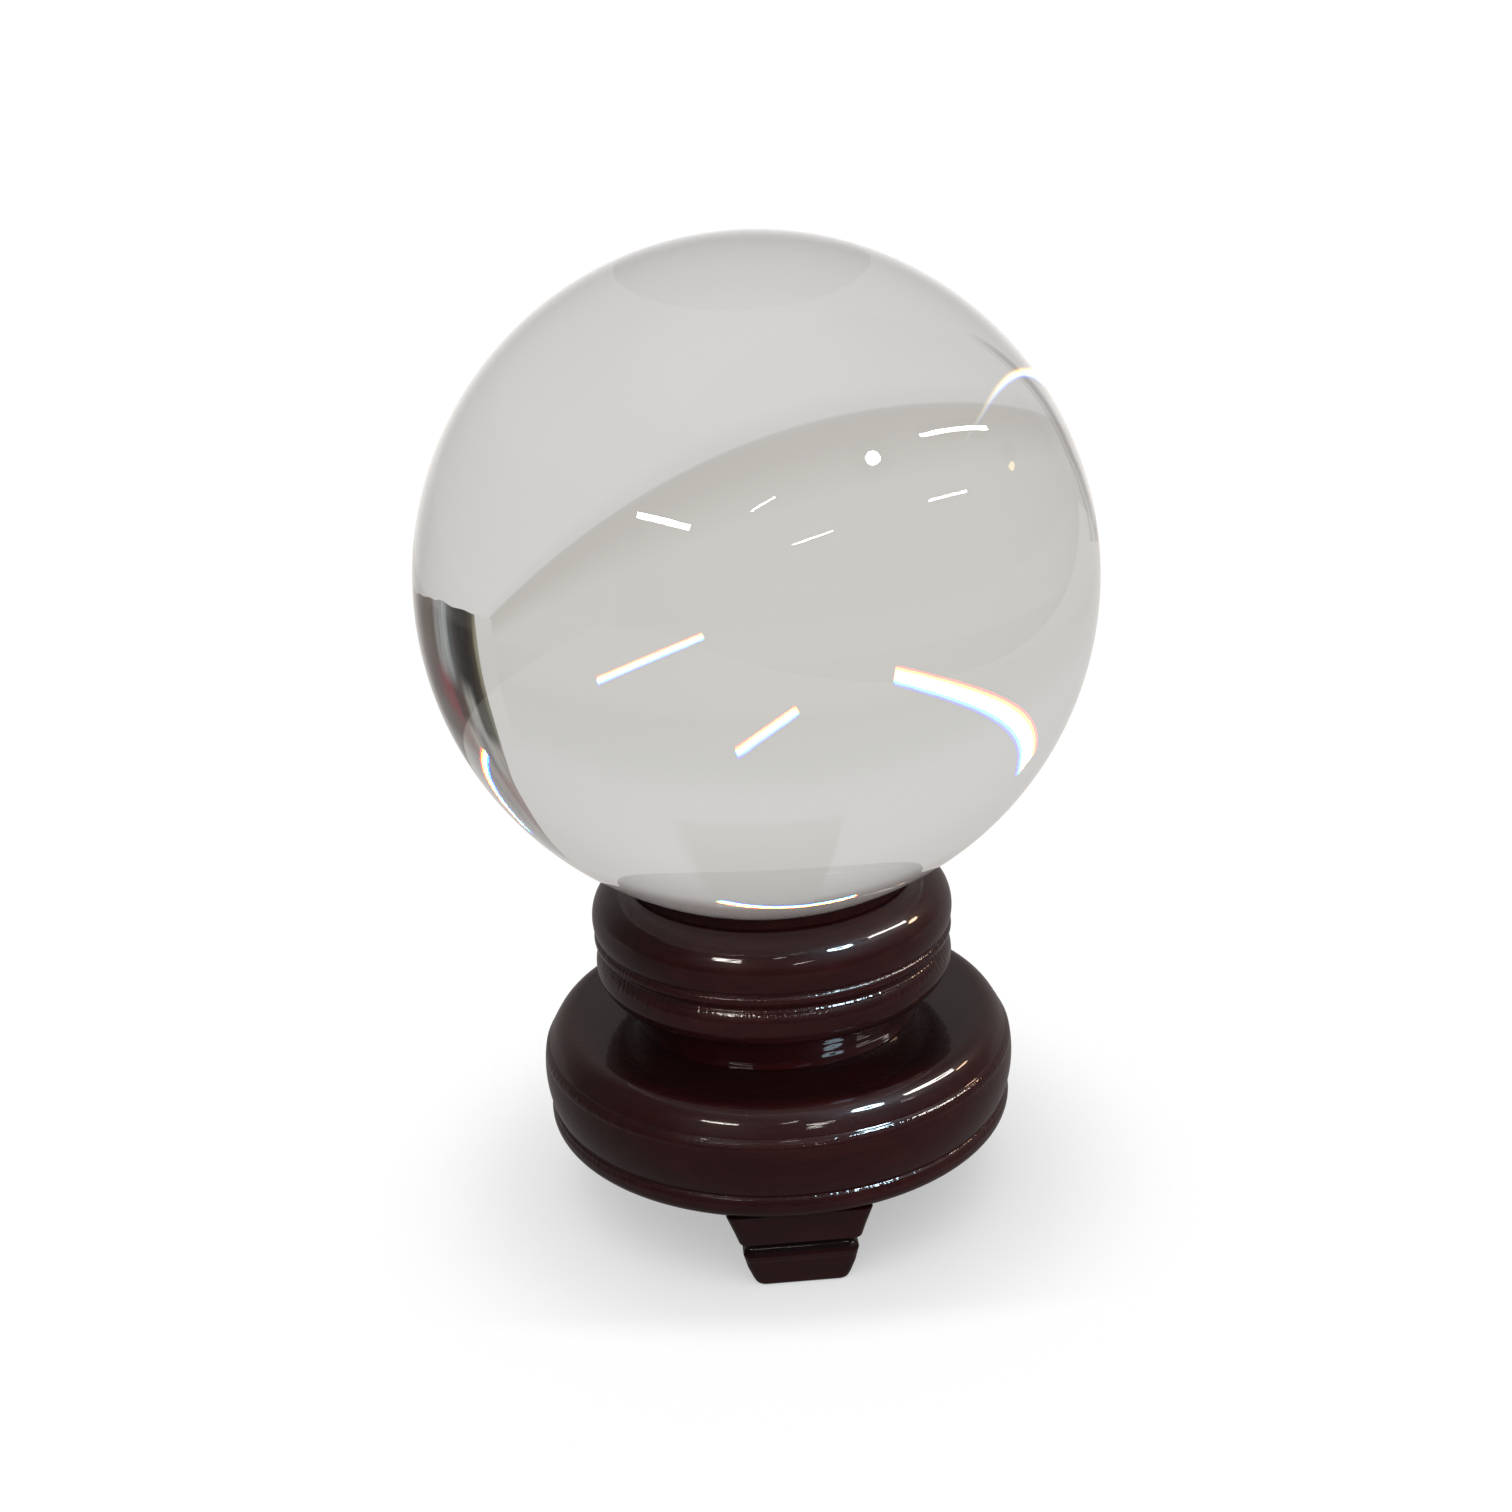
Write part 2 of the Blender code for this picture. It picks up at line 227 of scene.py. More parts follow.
def cube_sphere(name, radius, cuts):
    """A sphere from six evenly subdivided cube faces, so that no face is pinched at a pole."""
    verts, faces, index = [], [], {}
    tan = [math.tan(math.pi / 4 * (2 * i / cuts - 1)) for i in range(cuts + 1)]

    def vertex(p):
        key = tuple(round(c, 9) for c in p)
        if key not in index:
            index[key] = len(verts)
            length = math.sqrt(p[0] ** 2 + p[1] ** 2 + p[2] ** 2)
            verts.append(tuple(radius * c / length for c in p))
        return index[key]

    sides = [
        lambda a, b: (1.0, a, b), lambda a, b: (-1.0, b, a),
        lambda a, b: (b, 1.0, a), lambda a, b: (a, -1.0, b),
        lambda a, b: (a, b, 1.0), lambda a, b: (b, a, -1.0),
    ]
    for side in sides:
        grid = [[vertex(side(a, b)) for b in tan] for a in tan]
        for i in range(cuts):
            for j in range(cuts):
                faces.append((grid[i][j], grid[i + 1][j], grid[i + 1][j + 1], grid[i][j + 1]))
    obj = new_object(name, verts, faces)
    shade_smooth(obj)
    return obj


def uv_sheet(name, rows):
    """A grid of quads with a UV map, from rows of (point, uv)."""
    cells = [cell for row in rows for cell in row]
    width = len(rows[0])
    faces = []
    for i in range(len(rows) - 1):
        for j in range(width - 1):
            k = i * width + j
            faces.append((k, k + 1, k + width + 1, k + width))
    obj = new_object(name, [point for point, _ in cells], faces)
    layer = obj.data.uv_layers.new(name="UVMap")
    for loop in obj.data.loops:
        layer.data[loop.index].uv = cells[loop.vertex_index][1]
    return obj


def ribbon(name, edges, across, place):
    """A sheet between two edge lines: u runs along it, v across. place(a, b, t) is a point."""
    last = len(edges) - 1
    return uv_sheet(name, [
        [(tuple(place(a, b, j / across)), (i / last, j / across)) for j in range(across + 1)]
        for i, (a, b) in enumerate(edges)])


# ------------------------------------------------------------------------------------------
# node helpers
# ------------------------------------------------------------------------------------------
def grey(v):
    return (v, v, v)


class Tree:
    """Builds a node tree. Inputs are numbers, (r, g, b) colours, vectors or sockets, given in
    socket order or by name with _ for a space."""

    def __init__(self, node_tree, output="ShaderNodeOutputMaterial"):
        self.nodes, self.links = node_tree.nodes, node_tree.links
        self.nodes.clear()
        self.output = self.add(output)

    def put(self, node, key, value):
        socket = node.inputs[key]
        if isinstance(value, bpy.types.NodeSocket):
            self.links.new(value, socket)
        elif socket.type == "RGBA":
            socket.default_value = (*value, 1.0)
        else:
            socket.default_value = value

    def add(self, kind, *values, settings=None, **named):
        node = self.nodes.new(kind)
        for key, value in (settings or {}).items():
            setattr(node, key, value)
        for index, value in enumerate(values):
            self.put(node, index, value)
        for key, value in named.items():
            self.put(node, key.replace("_", " "), value)
        return node

    def finish(self, shader):
        self.put(self.output, "Surface", shader)

    def object_at(self):
        return self.add("ShaderNodeTexCoord").outputs["Object"]

    def world_at(self):
        return self.add("ShaderNodeNewGeometry").outputs["Position"]

    def uv(self):
        return self.add("ShaderNodeUVMap").outputs[0]

    def split(self, vector):
        return self.add("ShaderNodeSeparateXYZ", vector).outputs

    def join(self, x, y, z):
        return self.add("ShaderNodeCombineXYZ", x, y, z).outputs[0]

    def math(self, operation, *values):
        return self.add("ShaderNodeMath", *values, settings={"operation": operation}).outputs[0]

    def vector(self, operation, *values):
        return self.add("ShaderNodeVectorMath", *values, settings={"operation": operation})

    def dot(self, a, b):
        return self.vector("DOT_PRODUCT", a, b).outputs[1]

    def length(self, a):
        return self.vector("LENGTH", a).outputs[1]

    def smooth(self, value, start, end, to=(0.0, 1.0)):
        """Eases from to[0] to to[1] as value goes from start to end."""
        return self.add(
            "ShaderNodeMapRange", settings={"interpolation_type": "SMOOTHSTEP"}, Value=value,
            From_Min=start, From_Max=end, To_Min=to[0], To_Max=to[1]).outputs[0]

    def noise(self, at, scale, detail=2.0, roughness=0.5):
        return self.add("ShaderNodeTexNoise", Vector=at, Scale=scale, Detail=detail,
                        Roughness=roughness).outputs[0]

    def mix(self, factor, a, b):
        node = self.add("ShaderNodeMix", settings={"data_type": "RGBA", "clamp_factor": True})
        # sockets 6 and 7 are the colour pair
        for index, value in ((0, factor), (6, a), (7, b)):
            self.put(node, index, value)
        return node.outputs[2]

    def ramp(self, factor, stops):
        """A stop is (position, red, green, blue) or (position, grey)."""
        node = self.add("ShaderNodeValToRGB", Fac=factor)
        elements = node.color_ramp.elements
        while len(elements) < len(stops):
            elements.new(0.5)
        for element, (position, *colour) in zip(elements, stops):
            element.position = position
            element.color = (*(colour if len(colour) == 3 else grey(*colour)), 1.0)
        return node.outputs[0]

    def bump(self, height, strength, distance):
        return self.add("ShaderNodeBump", Strength=strength, Distance=distance,
                        Height=height).outputs[0]

    def principled(self, **inputs):
        return self.add("ShaderNodeBsdfPrincipled", **inputs).outputs[0]

    def emission(self, colour, strength):
        return self.add("ShaderNodeEmission", Color=colour, Strength=strength).outputs[0]

    def background(self, colour, strength):
        return self.add("ShaderNodeBackground", Color=colour, Strength=strength).outputs[0]

    def clear(self):
        return self.add("ShaderNodeBsdfTransparent").outputs[0]

    def add_shaders(self, a, b):
        return self.add("ShaderNodeAddShader", a, b).outputs[0]

    def mix_shaders(self, factor, a, b):
        return self.add("ShaderNodeMixShader", factor, a, b).outputs[0]

    def by_ray(self, diffuse, mirrored, through, seen):
        """A shader for each kind of ray. through is for rays that have been in the ball,
        whatever they met afterwards; seen is for the camera."""
        path = self.add("ShaderNodeLightPath").outputs
        in_glass = self.math("ADD", path["Is Transmission Ray"], path["Transmission Depth"])
        in_glass = self.math("MINIMUM", in_glass, 1.0)
        shader = self.mix_shaders(path["Is Glossy Ray"], diffuse, mirrored)
        shader = self.mix_shaders(in_glass, shader, through)
        return self.mix_shaders(path["Is Camera Ray"], shader, seen)


def material(name):
    mat = bpy.data.materials.new(name)
    mat.use_nodes = True
    return mat, Tree(mat.node_tree)


def dress(obj, mat):
    obj.data.materials.clear()
    obj.data.materials.append(mat)


def install(obj, mat, piece, body):
    """Puts a finished mesh in place of a piece of the frame."""
    dress(obj, mat)
    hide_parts(piece)
    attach(obj, body)


# ------------------------------------------------------------------------------------------
# materials of the object
# ------------------------------------------------------------------------------------------
def clear_glass():
    """Solid polished optical glass, with a trace of a green-grey body colour."""
    mat, tree = material("clear_glass")
    veil = tree.noise(tree.object_at(), scale=9.0)
    tint = tree.mix(tree.smooth(veil, 0.35, 0.65), (0.994, 0.997, 0.994), grey(1.0))
    tree.finish(tree.principled(
        Base_Color=tint, Roughness=0.0, IOR=1.52, Transmission_Weight=1.0))
    return mat


def maroon_felt():
    """Thin wool felt: matte and fuzzy, short fibres lying in all directions."""
    mat, tree = material("maroon_felt")
    at = tree.object_at()
    fibres = tree.noise(at, scale=2600.0, detail=6.0, roughness=0.75)
    clumps = tree.noise(at, scale=420.0, detail=3.0)
    amount = tree.math("MULTIPLY_ADD", fibres, 0.6, tree.math("MULTIPLY", clumps, 0.4))
    colour = tree.ramp(amount, (
        (0.3, 0.006, 0.0016, 0.0018), (0.55, 0.014, 0.003, 0.003), (0.75, 0.030, 0.006, 0.006)))
    tree.finish(tree.principled(
        Base_Color=colour, Roughness=0.95,
        Normal=tree.bump(amount, strength=0.8, distance=0.00025),
        Specular_IOR_Level=0.15, Sheen_Weight=0.06, Sheen_Roughness=0.45,
        Sheen_Tint=(0.5, 0.22, 0.2)))
    return mat


def lacquered_wood(name, beads, seed, turned=True, painted_shade_grooves=(), painted_shadow_radius=None, painted_shade=0.0):
    """Dark mahogany stain under a thick clear lacquer. beads and grooves are (height, half
    height) in metres: the lacquer ripples on beads, and painted shade darkens the grooves.
    Inside the given radius the top is darkened by a painted shadow of the ball and collar;
    the shade amount is painted shade that darkens and greys the whole piece."""
    mat, tree = material(name)
    at = tree.object_at()
    x, y, z = tree.split(at)

    def near_height(height, half, core, peak):
        """peak around a height, fading to 0 between core * half and half away from it."""
        away = tree.math("ABSOLUTE", tree.math("SUBTRACT", z, height))
        return tree.smooth(away, half * core, half, to=(peak, 0.0))

    # the grain runs along X: long soft streaks, bent slightly by the growth of the tree
    wavy = tree.math("MULTIPLY_ADD", tree.noise(at, scale=22.0), 0.004, y)

    def streaks(along, across):
        return tree.join(tree.math("MULTIPLY", x, along), tree.math("MULTIPLY", wavy, across),
                         tree.math("MULTIPLY_ADD", z, across, seed))

    grain = tree.noise(streaks(34.0, 620.0), scale=1.0, detail=5.0, roughness=0.6)
    pores = tree.noise(streaks(260.0, 3600.0), scale=1.0)
    cloud = tree.noise(at, scale=46.0, detail=3.0)
    stain = tree.math("MULTIPLY_ADD", grain, 0.55, tree.math("MULTIPLY", cloud, 0.45))
    colour = tree.ramp(stain, (
        (0.34, 0.0086, 0.0009, 0.0011), (0.46, 0.0116, 0.0012, 0.0015),
        (0.56, 0.0146, 0.0016, 0.0020), (0.68, 0.0195, 0.0026, 0.0030)))
    # painted shade: the whole piece darkened and greyed, standing in for the shade under the disc
    if painted_shade:
        colour = tree.mix(painted_shade, colour, (0.0030, 0.0022, 0.0020))
    in_pore = tree.smooth(pores, 0.62, 0.74, to=(0.0, 0.55))
    colour = tree.mix(in_pore, colour, (0.005, 0.0008, 0.001))
    # painted shade: each groove darkened, standing in for the shade that lies in it
    for height, half in painted_shade_grooves:
        groove_painted_shade = near_height(height, half, core=0.5, peak=0.85)
        colour = tree.mix(groove_painted_shade, colour, (0.0012, 0.0005, 0.0005))
    if painted_shadow_radius or turned:
        squares = tree.math("ADD", tree.math("MULTIPLY", x, x), tree.math("MULTIPLY", y, y))
        from_axis = tree.math("SQRT", squares)
    # painted shadow: the top darkened inside the given radius, where the ball and collar shade it
    if painted_shadow_radius:
        disc_painted_shadow = tree.smooth(from_axis, painted_shadow_radius - 0.003, painted_shadow_radius + 0.001, to=(0.55, 0.0))
        colour = tree.mix(disc_painted_shadow, colour, (0.0012, 0.0003, 0.0003))

    # the lacquer surface: a slow unevenness everywhere
    angle = tree.math("ARCTAN2", y, x)
    relief = tree.math("MULTIPLY", tree.noise(at, scale=115.0, detail=1.0), 0.10)
    if turned:
        # fine tool lines round the piece draw each highlight out up and down, not sideways
        tool_at = tree.join(
            tree.math("MULTIPLY", from_axis, 1500.0), tree.math("MULTIPLY", z, 1500.0),
            tree.math("MULTIPLY_ADD", angle, 1.6, seed))
        tool = tree.noise(tool_at, scale=1.0, detail=1.0)
        relief = tree.math("MULTIPLY_ADD", tool, 0.085, relief)
    # close upright ripples on the narrow beads
    ripple_at = tree.join(
        tree.math("MULTIPLY", angle, 44.0), tree.math("MULTIPLY", z, 420.0), seed)
    ripple = tree.noise(ripple_at, scale=1.0, detail=1.5)
    on_bead, *others = [near_height(*bead, core=0.55, peak=1.0) for bead in beads]
    for other in others:
        on_bead = tree.math("MAXIMUM", on_bead, other)
    relief = tree.math("MULTIPLY_ADD", tree.math("MULTIPLY", on_bead, ripple), 0.50, relief)

    tree.finish(tree.principled(
        Base_Color=colour, Roughness=0.42, IOR=1.5,
        Normal=tree.bump(grain, strength=0.35, distance=0.0001),
        Specular_IOR_Level=0.12, Coat_Weight=1.0, Coat_IOR=1.5,
        Coat_Roughness=tree.smooth(cloud, 0.3, 0.7, to=(0.028, 0.055)),
        Coat_Normal=tree.bump(relief, strength=1.0, distance=0.0003)))
    return mat


def plain_beech():
    """Unfinished beech dowel: pale, with short dark flecks drawn out along Z."""
    mat, tree = material("beech")
    drawn = tree.add("ShaderNodeMapping", Vector=tree.object_at(), Scale=(1.0, 1.0, 0.12))
    drawn = drawn.outputs[0]
    grain = tree.noise(drawn, scale=900.0, detail=4.0)
    flecks = tree.add("ShaderNodeTexVoronoi", Vector=drawn, Scale=1500.0).outputs[0]
    colour = tree.ramp(grain, ((0.35, 0.42, 0.25, 0.13), (0.65, 0.62, 0.42, 0.25)))
    colour = tree.mix(tree.smooth(flecks, 0.12, 0.2, to=(0.5, 0.0)), colour, (0.2, 0.1, 0.05))
    tree.finish(tree.principled(
        Base_Color=colour, Roughness=0.7,
        Normal=tree.bump(grain, strength=0.4, distance=0.0001)))
    return mat


def zinc_steel():
    """Zinc-plated screw steel: bright grey with a faint yellow cast."""
    mat, tree = material("zinc_steel")
    spots = tree.noise(tree.object_at(), scale=700.0, detail=5.0)
    tree.finish(tree.principled(
        Base_Color=tree.ramp(spots, ((0.3, 0.46, 0.45, 0.41), (0.7, 0.68, 0.68, 0.66))),
        Metallic=1.0, Roughness=tree.smooth(spots, 0.3, 0.7, to=(0.24, 0.42)),
        Normal=tree.bump(spots, strength=0.25, distance=0.00005)))
    return mat


# ------------------------------------------------------------------------------------------
# the ball and the felt ring it sits on
# ------------------------------------------------------------------------------------------
ball = cube_sphere("polished_ball", BALL_R - 0.00001, cuts=118)
ball.location = BALL_C
install(ball, clear_glass(), "crystal_ball", "ball")

DISH_R = 51.6 * MM  # radius of the collar's hollow: the ball, the felt and the two gaps
FELT_GAP = 0.06 * MM
FELT_HOLE_R = 15.7 * MM


def sphere_run(radius, start, end, count):
    """The underside of a sphere about the ball's centre, from one distance out to another."""
    points = []
    for i in range(count + 1):
        r = start + (end - start) * i / count
        points.append((r, BALL_C.z - math.sqrt(radius ** 2 - r ** 2)))
    return points


def felt_ring():
    inner, outer = FELT_HOLE_R, LINER_OUT
    top = sphere_run(BALL_R + FELT_GAP, inner, outer - 0.25 * MM, 26)
    under = sphere_run(DISH_R - FELT_GAP, outer, inner, 26)
    outer_edge = [(outer - 0.02 * MM, top[-1][1] - 0.25 * MM),
                  (outer + 0.03 * MM, (top[-1][1] + under[0][1]) / 2)]
    inner_edge = [(inner - 0.05 * MM, (top[0][1] + under[-1][1]) / 2)]

    def fuzz(r, z, a):
        return 0.02 * MM * (math.sin(61 * a + 900 * z) * math.sin(17 * a + 1.3)
                            + 0.5 * math.sin(137 * a + 2100 * r))

    return lathe("felt_seat", top + outer_edge + under + inner_edge + [top[0]], 288, fuzz)


install(felt_ring(), maroon_felt(), "seat_liner", "seat_ring")


# ------------------------------------------------------------------------------------------
# the turned collar and disc, sizes in millimetres
# ------------------------------------------------------------------------------------------
COLLAR_Z = 46.1  # height of the centre of the collar's rounded lip
LIP_AT, LIP_R = 22.0, 6.05  # distance of that centre from the axis, and the lip's own radius
NECK_R = 22.2
DISH_FLOOR = 44.0
DISH_IN_R = 15.0

FLAT_R = 32.2  # flat top of the disc
RIM_R, RIM_Z = 36.4, 25.0  # groove between the two slopes of the disc's rim
BAND_Z = 16.0  # foot of the disc's tall side band


def drift(amount, waves, phase):
    """The slight out-of-round that hand sanding leaves."""
    def wobble(r, z, a):
        return amount * (math.sin(waves * a + phase) * 0.6
                         + math.sin((2 * waves + 1) * a + 2.1 * phase + 90 * z) * 0.4)
    return wobble


def collar_profile():
    top = DISC_TOP / MM
    floor_run = [
        (0.0, DISH_FLOOR), (6.0, DISH_FLOOR), (13.7, DISH_FLOOR), (14.4, DISH_FLOOR + 0.2),
        (DISH_IN_R, DISH_FLOOR + 1.0)]
    dish = sphere_run(DISH_R, DISH_IN_R * MM, LIP_AT * MM, 22)
    dish = [(r / MM, z / MM) for r, z in dish]
    # the lip with a notch in it, a small bead, a hollow and a large bead
    outer = (
        arc(LIP_AT, COLLAR_Z, LIP_R, LIP_R, 88, 36, 24)
        + arc(LIP_AT, COLLAR_Z, LIP_R, LIP_R, 24, -15, 18)
        + [(27.36, COLLAR_Z - 1.80), (27.55, COLLAR_Z - 2.15)]
        + arc(27.08, COLLAR_Z - 3.10, 0.84, 0.95, 62, -60, 14)
        + [(27.02, COLLAR_Z - 4.42), (27.10, COLLAR_Z - 4.70), (27.40, COLLAR_Z - 5.02)]
        + arc(24.60, COLLAR_Z - 7.60, 3.27, 3.75, 42, -86, 34))
    # neck: (radius beyond NECK_R, depth below COLLAR_Z)
    neck = [(NECK_R + out, COLLAR_Z - down) for out, down in (
        (1.55, 11.75), (1.24, 12.05), (1.08, 12.35), (1.00, 12.65),
        (0.64, 14.1), (0.28, 15.55), (0.23, 15.9), (0.20, 16.7))]
    neck += [(NECK_R + 0.18, top + 1.1), (NECK_R + 0.17, top + 0.03)]
    # underside: a spigot down into the disc and a blind hole for the screw
    below = [(NECK_R + 0.05, top), (12.0, top), (12.0, 20.1), (11.7, 19.8), (2.2, 19.8),
             (2.2, 36.5), (1.2, 38.2), (0.0, 38.9)]
    outline = floor_run + dish[1:] + outer + neck + below
    return resample(mm(round_corners(outline, 0.16)), PROFILE_STEP)


def disc_profile():
    top, under, radius = DISC_TOP / MM, DISC_UNDER / MM, DISC_R / MM
    # the rim rolls over into two narrow slopes with a scratch of a groove between them
    outline = [(12.3, top), (FLAT_R - 0.4, top)]
    for i in range(19):
        t = i / 18
        outline.append((bezier(FLAT_R, FLAT_R + 1.9, FLAT_R + 3.12, t),
                        bezier(top, top, top - 1.88, t)))
    # (radius beyond RIM_R, height above RIM_Z)
    outline += [(RIM_R + out, RIM_Z + up) for out, up in (
        (-0.64, 1.48), (-0.22, 0.74), (-0.26, 0.58), (-0.12, 0.46), (0.14, 0.02),
        (0.36, -0.36))]
    # the side band, fullest a little above its middle
    rows = 22
    for i in range(rows + 1):
        t = i / rows
        r = radius - 0.70 * (1 - max(0.0, 1 - ((t - 0.42) / 0.58) ** 2)) - 0.10 * t
        z = RIM_Z - 0.55 + (BAND_Z + 0.45 - RIM_Z + 0.55) * t
        outline.append((r + 0.04 * (1 - t), z))
    outline += [(radius - 1.10, BAND_Z + 0.08), (radius - 1.12, BAND_Z - 0.12),
                (radius - 0.80, BAND_Z - 0.45)]
    outline += arc(radius - 2.80, under + 2.25, 2.25, 2.25, 28, -90, 22)
    # the countersunk screw hole and the socket for the collar's spigot
    outline += [(4.9, under), (4.9, 13.2), (2.25, 15.9), (2.25, 19.5), (12.3, 19.5),
                (12.3, top)]
    return resample(mm(round_corners(outline, 0.14)), PROFILE_STEP)


collar = lathe("turned_collar", collar_profile(), 352, drift(0.018 * MM, waves=3, phase=0.7))
collar_wood = lacquered_wood(
    "lacquered_wood_collar", seed=3.1,
    beads=mm([(COLLAR_Z - 2.5, 1.0), (COLLAR_Z - 5.6, 1.5)]))
install(collar, collar_wood, "collar", "stand")

disc = lathe("turned_base_disc", disc_profile(), 384, drift(0.02 * MM, waves=2, phase=1.9))
# the disc top gets a painted shadow near the collar
disc_wood = lacquered_wood(
    "lacquered_wood_disc", seed=11.7, beads=mm([(24.55, 0.75), (15.2, 1.0)]),
    painted_shadow_radius=32.5 * MM)
install(disc, disc_wood, "base_disc", "stand")


# ------------------------------------------------------------------------------------------
# the three feet, sizes in millimetres
# ------------------------------------------------------------------------------------------
FOOT_HALF_WIDTHS = (  # (height, half width)
    (0.0, 6.60), (0.35, 6.95), (1.1, 7.35), (2.8, 8.05),
    (5.1, 8.65), (6.8, 9.05), (8.8, 9.75), (11.7, 10.90))
FOOT_EXTRA_LEVELS = (  # sections added where the face bends quickly
    0.0, 0.08, 0.2, 0.35, 0.5, 0.7, 4.9, 4.98, 5.1, 5.25, 6.85, 7.0, 7.1, 7.2, 11.4, 11.55)
FRONT_CORNER, BACK_CORNER = 1.3, 0.6
COVE_LOW, COVE_HIGH, COVE_DEPTH = 4.9, 7.1, 1.45
FOOT_EDGE = 0.7  # height of the rounded bottom edge


def foot_face(z):
    """How far the front of the foot stands back from its outermost plane at height z."""
    back = 0.0
    if z < FOOT_EDGE:
        rise = (FOOT_EDGE - z) / FOOT_EDGE
        back += FOOT_EDGE * (1 - math.sqrt(max(0.0, 1 - rise ** 2))) * 0.8
    if COVE_LOW < z < COVE_HIGH:
        back += COVE_DEPTH * math.sin(math.pi * ((z - COVE_LOW) / 2.2) ** 0.85)
    if z > COVE_HIGH:
        back += 0.12 * (z - COVE_HIGH) / 5.0
    return back


def foot_section(z, top):
    """A level section with rounded corners: (across the foot, out from the stand's axis)."""
    half = float(np.interp(z, *zip(*FOOT_HALF_WIDTHS))) - (0.10 if z > top - 0.05 else 0.0)
    back = foot_face(z)
    half -= 0.42 * back if COVE_LOW < z < COVE_HIGH else 0.0
    front_x, front_y = half - FRONT_CORNER, FOOT_FRONT / MM - back - FRONT_CORNER
    rear_x, rear_y = half - BACK_CORNER, FOOT_BACK / MM + BACK_CORNER
    spots = []
    for x, y, start, radius in (
            (front_x, front_y, 0, FRONT_CORNER), (-front_x, front_y, 90, FRONT_CORNER),
            (-rear_x, rear_y, 180, BACK_CORNER), (rear_x, rear_y, 270, BACK_CORNER)):
        for k in range(9):
            a = math.radians(start + 90 * k / 8)
            spots.append((x + radius * math.cos(a), y + radius * math.sin(a)))
    loop = []
    for i, p in enumerate(spots):
        q = spots[(i + 1) % len(spots)]
        count = 12 if i % 9 == 8 else 1  # the straight side after each corner is split
        for k in range(count):
            t = k / count
            loop.append((p[0] + (q[0] - p[0]) * t, p[1] + (q[1] - p[1]) * t))
    return loop


def foot_mesh(name, angle):
    """A sawn and rounded block, widening upward, with a cove cut across the face."""
    top = FOOT_TOP / MM
    levels = {round(top * i / 46, 4) for i in range(47)} | {*FOOT_EXTRA_LEVELS, round(top, 4)}
    cosine, sine = math.cos(angle), math.sin(angle)
    verts, rings = [], []
    for z in sorted(levels):
        loop = foot_section(z, top)
        rings.append(range(len(verts), len(verts) + len(loop)))
        for x, y in loop:
            verts.append(((cosine * x + sine * y) * MM, (sine * x - cosine * y) * MM, z * MM))
    faces = bridge(rings, flip=True)
    faces.append(tuple(reversed(rings[0])))
    faces.append(tuple(rings[-1]))
    return tidy(new_object(name, verts, faces), 38)


for i, piece in enumerate(("foot_front", "foot_rear_right", "foot_rear_left")):
    foot = foot_mesh("carved_" + piece, math.radians(120 * i))
    # the feet get painted shade, all over and in the cove
    foot_wood = lacquered_wood(
        "lacquered_wood_" + piece, seed=20.0 + 7 * i, turned=False, painted_shade=0.30,
        beads=mm([(4.7, 0.7)]), painted_shade_grooves=mm([(6.0, 1.2)]))
    install(foot, foot_wood, piece, "stand")


# ------------------------------------------------------------------------------------------
# the hidden fixings: fluted dowels and the countersunk screw
# ------------------------------------------------------------------------------------------
def fluted_dowel(piece):
    """A chamfered dowel with twelve shallow flutes."""
    lo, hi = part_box(piece)
    radius = (hi.x - lo.x) / 2
    length = hi.z - lo.z
    chamfer = 0.35 * MM
    profile = [(0.0, lo.z), (radius - chamfer, lo.z), (radius, lo.z + chamfer)]
    profile += [(radius, lo.z + chamfer + (length - 2 * chamfer) * k / 6) for k in range(1, 7)]
    profile += [(radius - chamfer, hi.z), (0.0, hi.z)]

    def flutes(r, z, a):
        return -0.10 * MM * max(0.0, math.cos(12 * a)) ** 2 if r > radius * 0.9 else 0.0

    dowel = lathe("fluted_" + piece, profile, 72, flutes)
    dowel.data.transform(Matrix.Translation(((lo.x + hi.x) / 2, (lo.y + hi.y) / 2, 0.0)))
    return dowel


beech = plain_beech()
for piece in sorted(frame["nodes"]):
    if piece.startswith("dowel_"):
        install(fluted_dowel(piece), beech, piece, "stand")

SCREW_STEPS = 48
SCREW_ROWS = 150
SCREW_PITCH = 1.5  # millimetres, like the radii and lengths below
SHANK_R, ROOT_R, CREST_R = 1.7, 1.25, 1.88
HEAD_LENGTH = 3.6
RUN_IN = 3.0  # length over which the thread starts


def screw_rows(bottom, tip, head_r):
    """(height, radii) from the head at the bottom, along the thread, to the point."""
    shank = bottom + HEAD_LENGTH
    levels = [(bottom, head_r - 0.35), (bottom + 0.12, head_r - 0.05), (bottom + 0.4, head_r),
              (bottom + 0.75, head_r - 0.1)]
    levels += [(bottom + 0.75 + 2.3 * t / 5, head_r - 0.1 - (head_r - 0.1 - 1.75) * t / 5)
               for t in range(1, 6)]
    levels.append((shank, SHANK_R))
    rows = [(bottom, [0.0])] + [(z, [r] * SCREW_STEPS) for z, r in levels]
    for i in range(1, SCREW_ROWS + 1):
        z = shank + (tip - 0.02 - shank) * i / SCREW_ROWS
        start = min(1.0, (z - shank) / RUN_IN)
        fade = start * min(1.0, (tip - z) / 3.5)
        taper = min(1.0, (tip - z) / 3.6 + 0.03)
        body = (SHANK_R + (ROOT_R - SHANK_R) * start) * taper
        radii = []
        for k in range(SCREW_STEPS):
            phase = ((z - shank) / SCREW_PITCH - k / SCREW_STEPS) % 1.0
            tooth = max(0.0, 1 - abs(phase - 0.5) / 0.28)
            radii.append(body + (CREST_R - ROOT_R) * tooth * fade)
        rows.append((z, radii))
    return rows + [(tip, [0.0])]


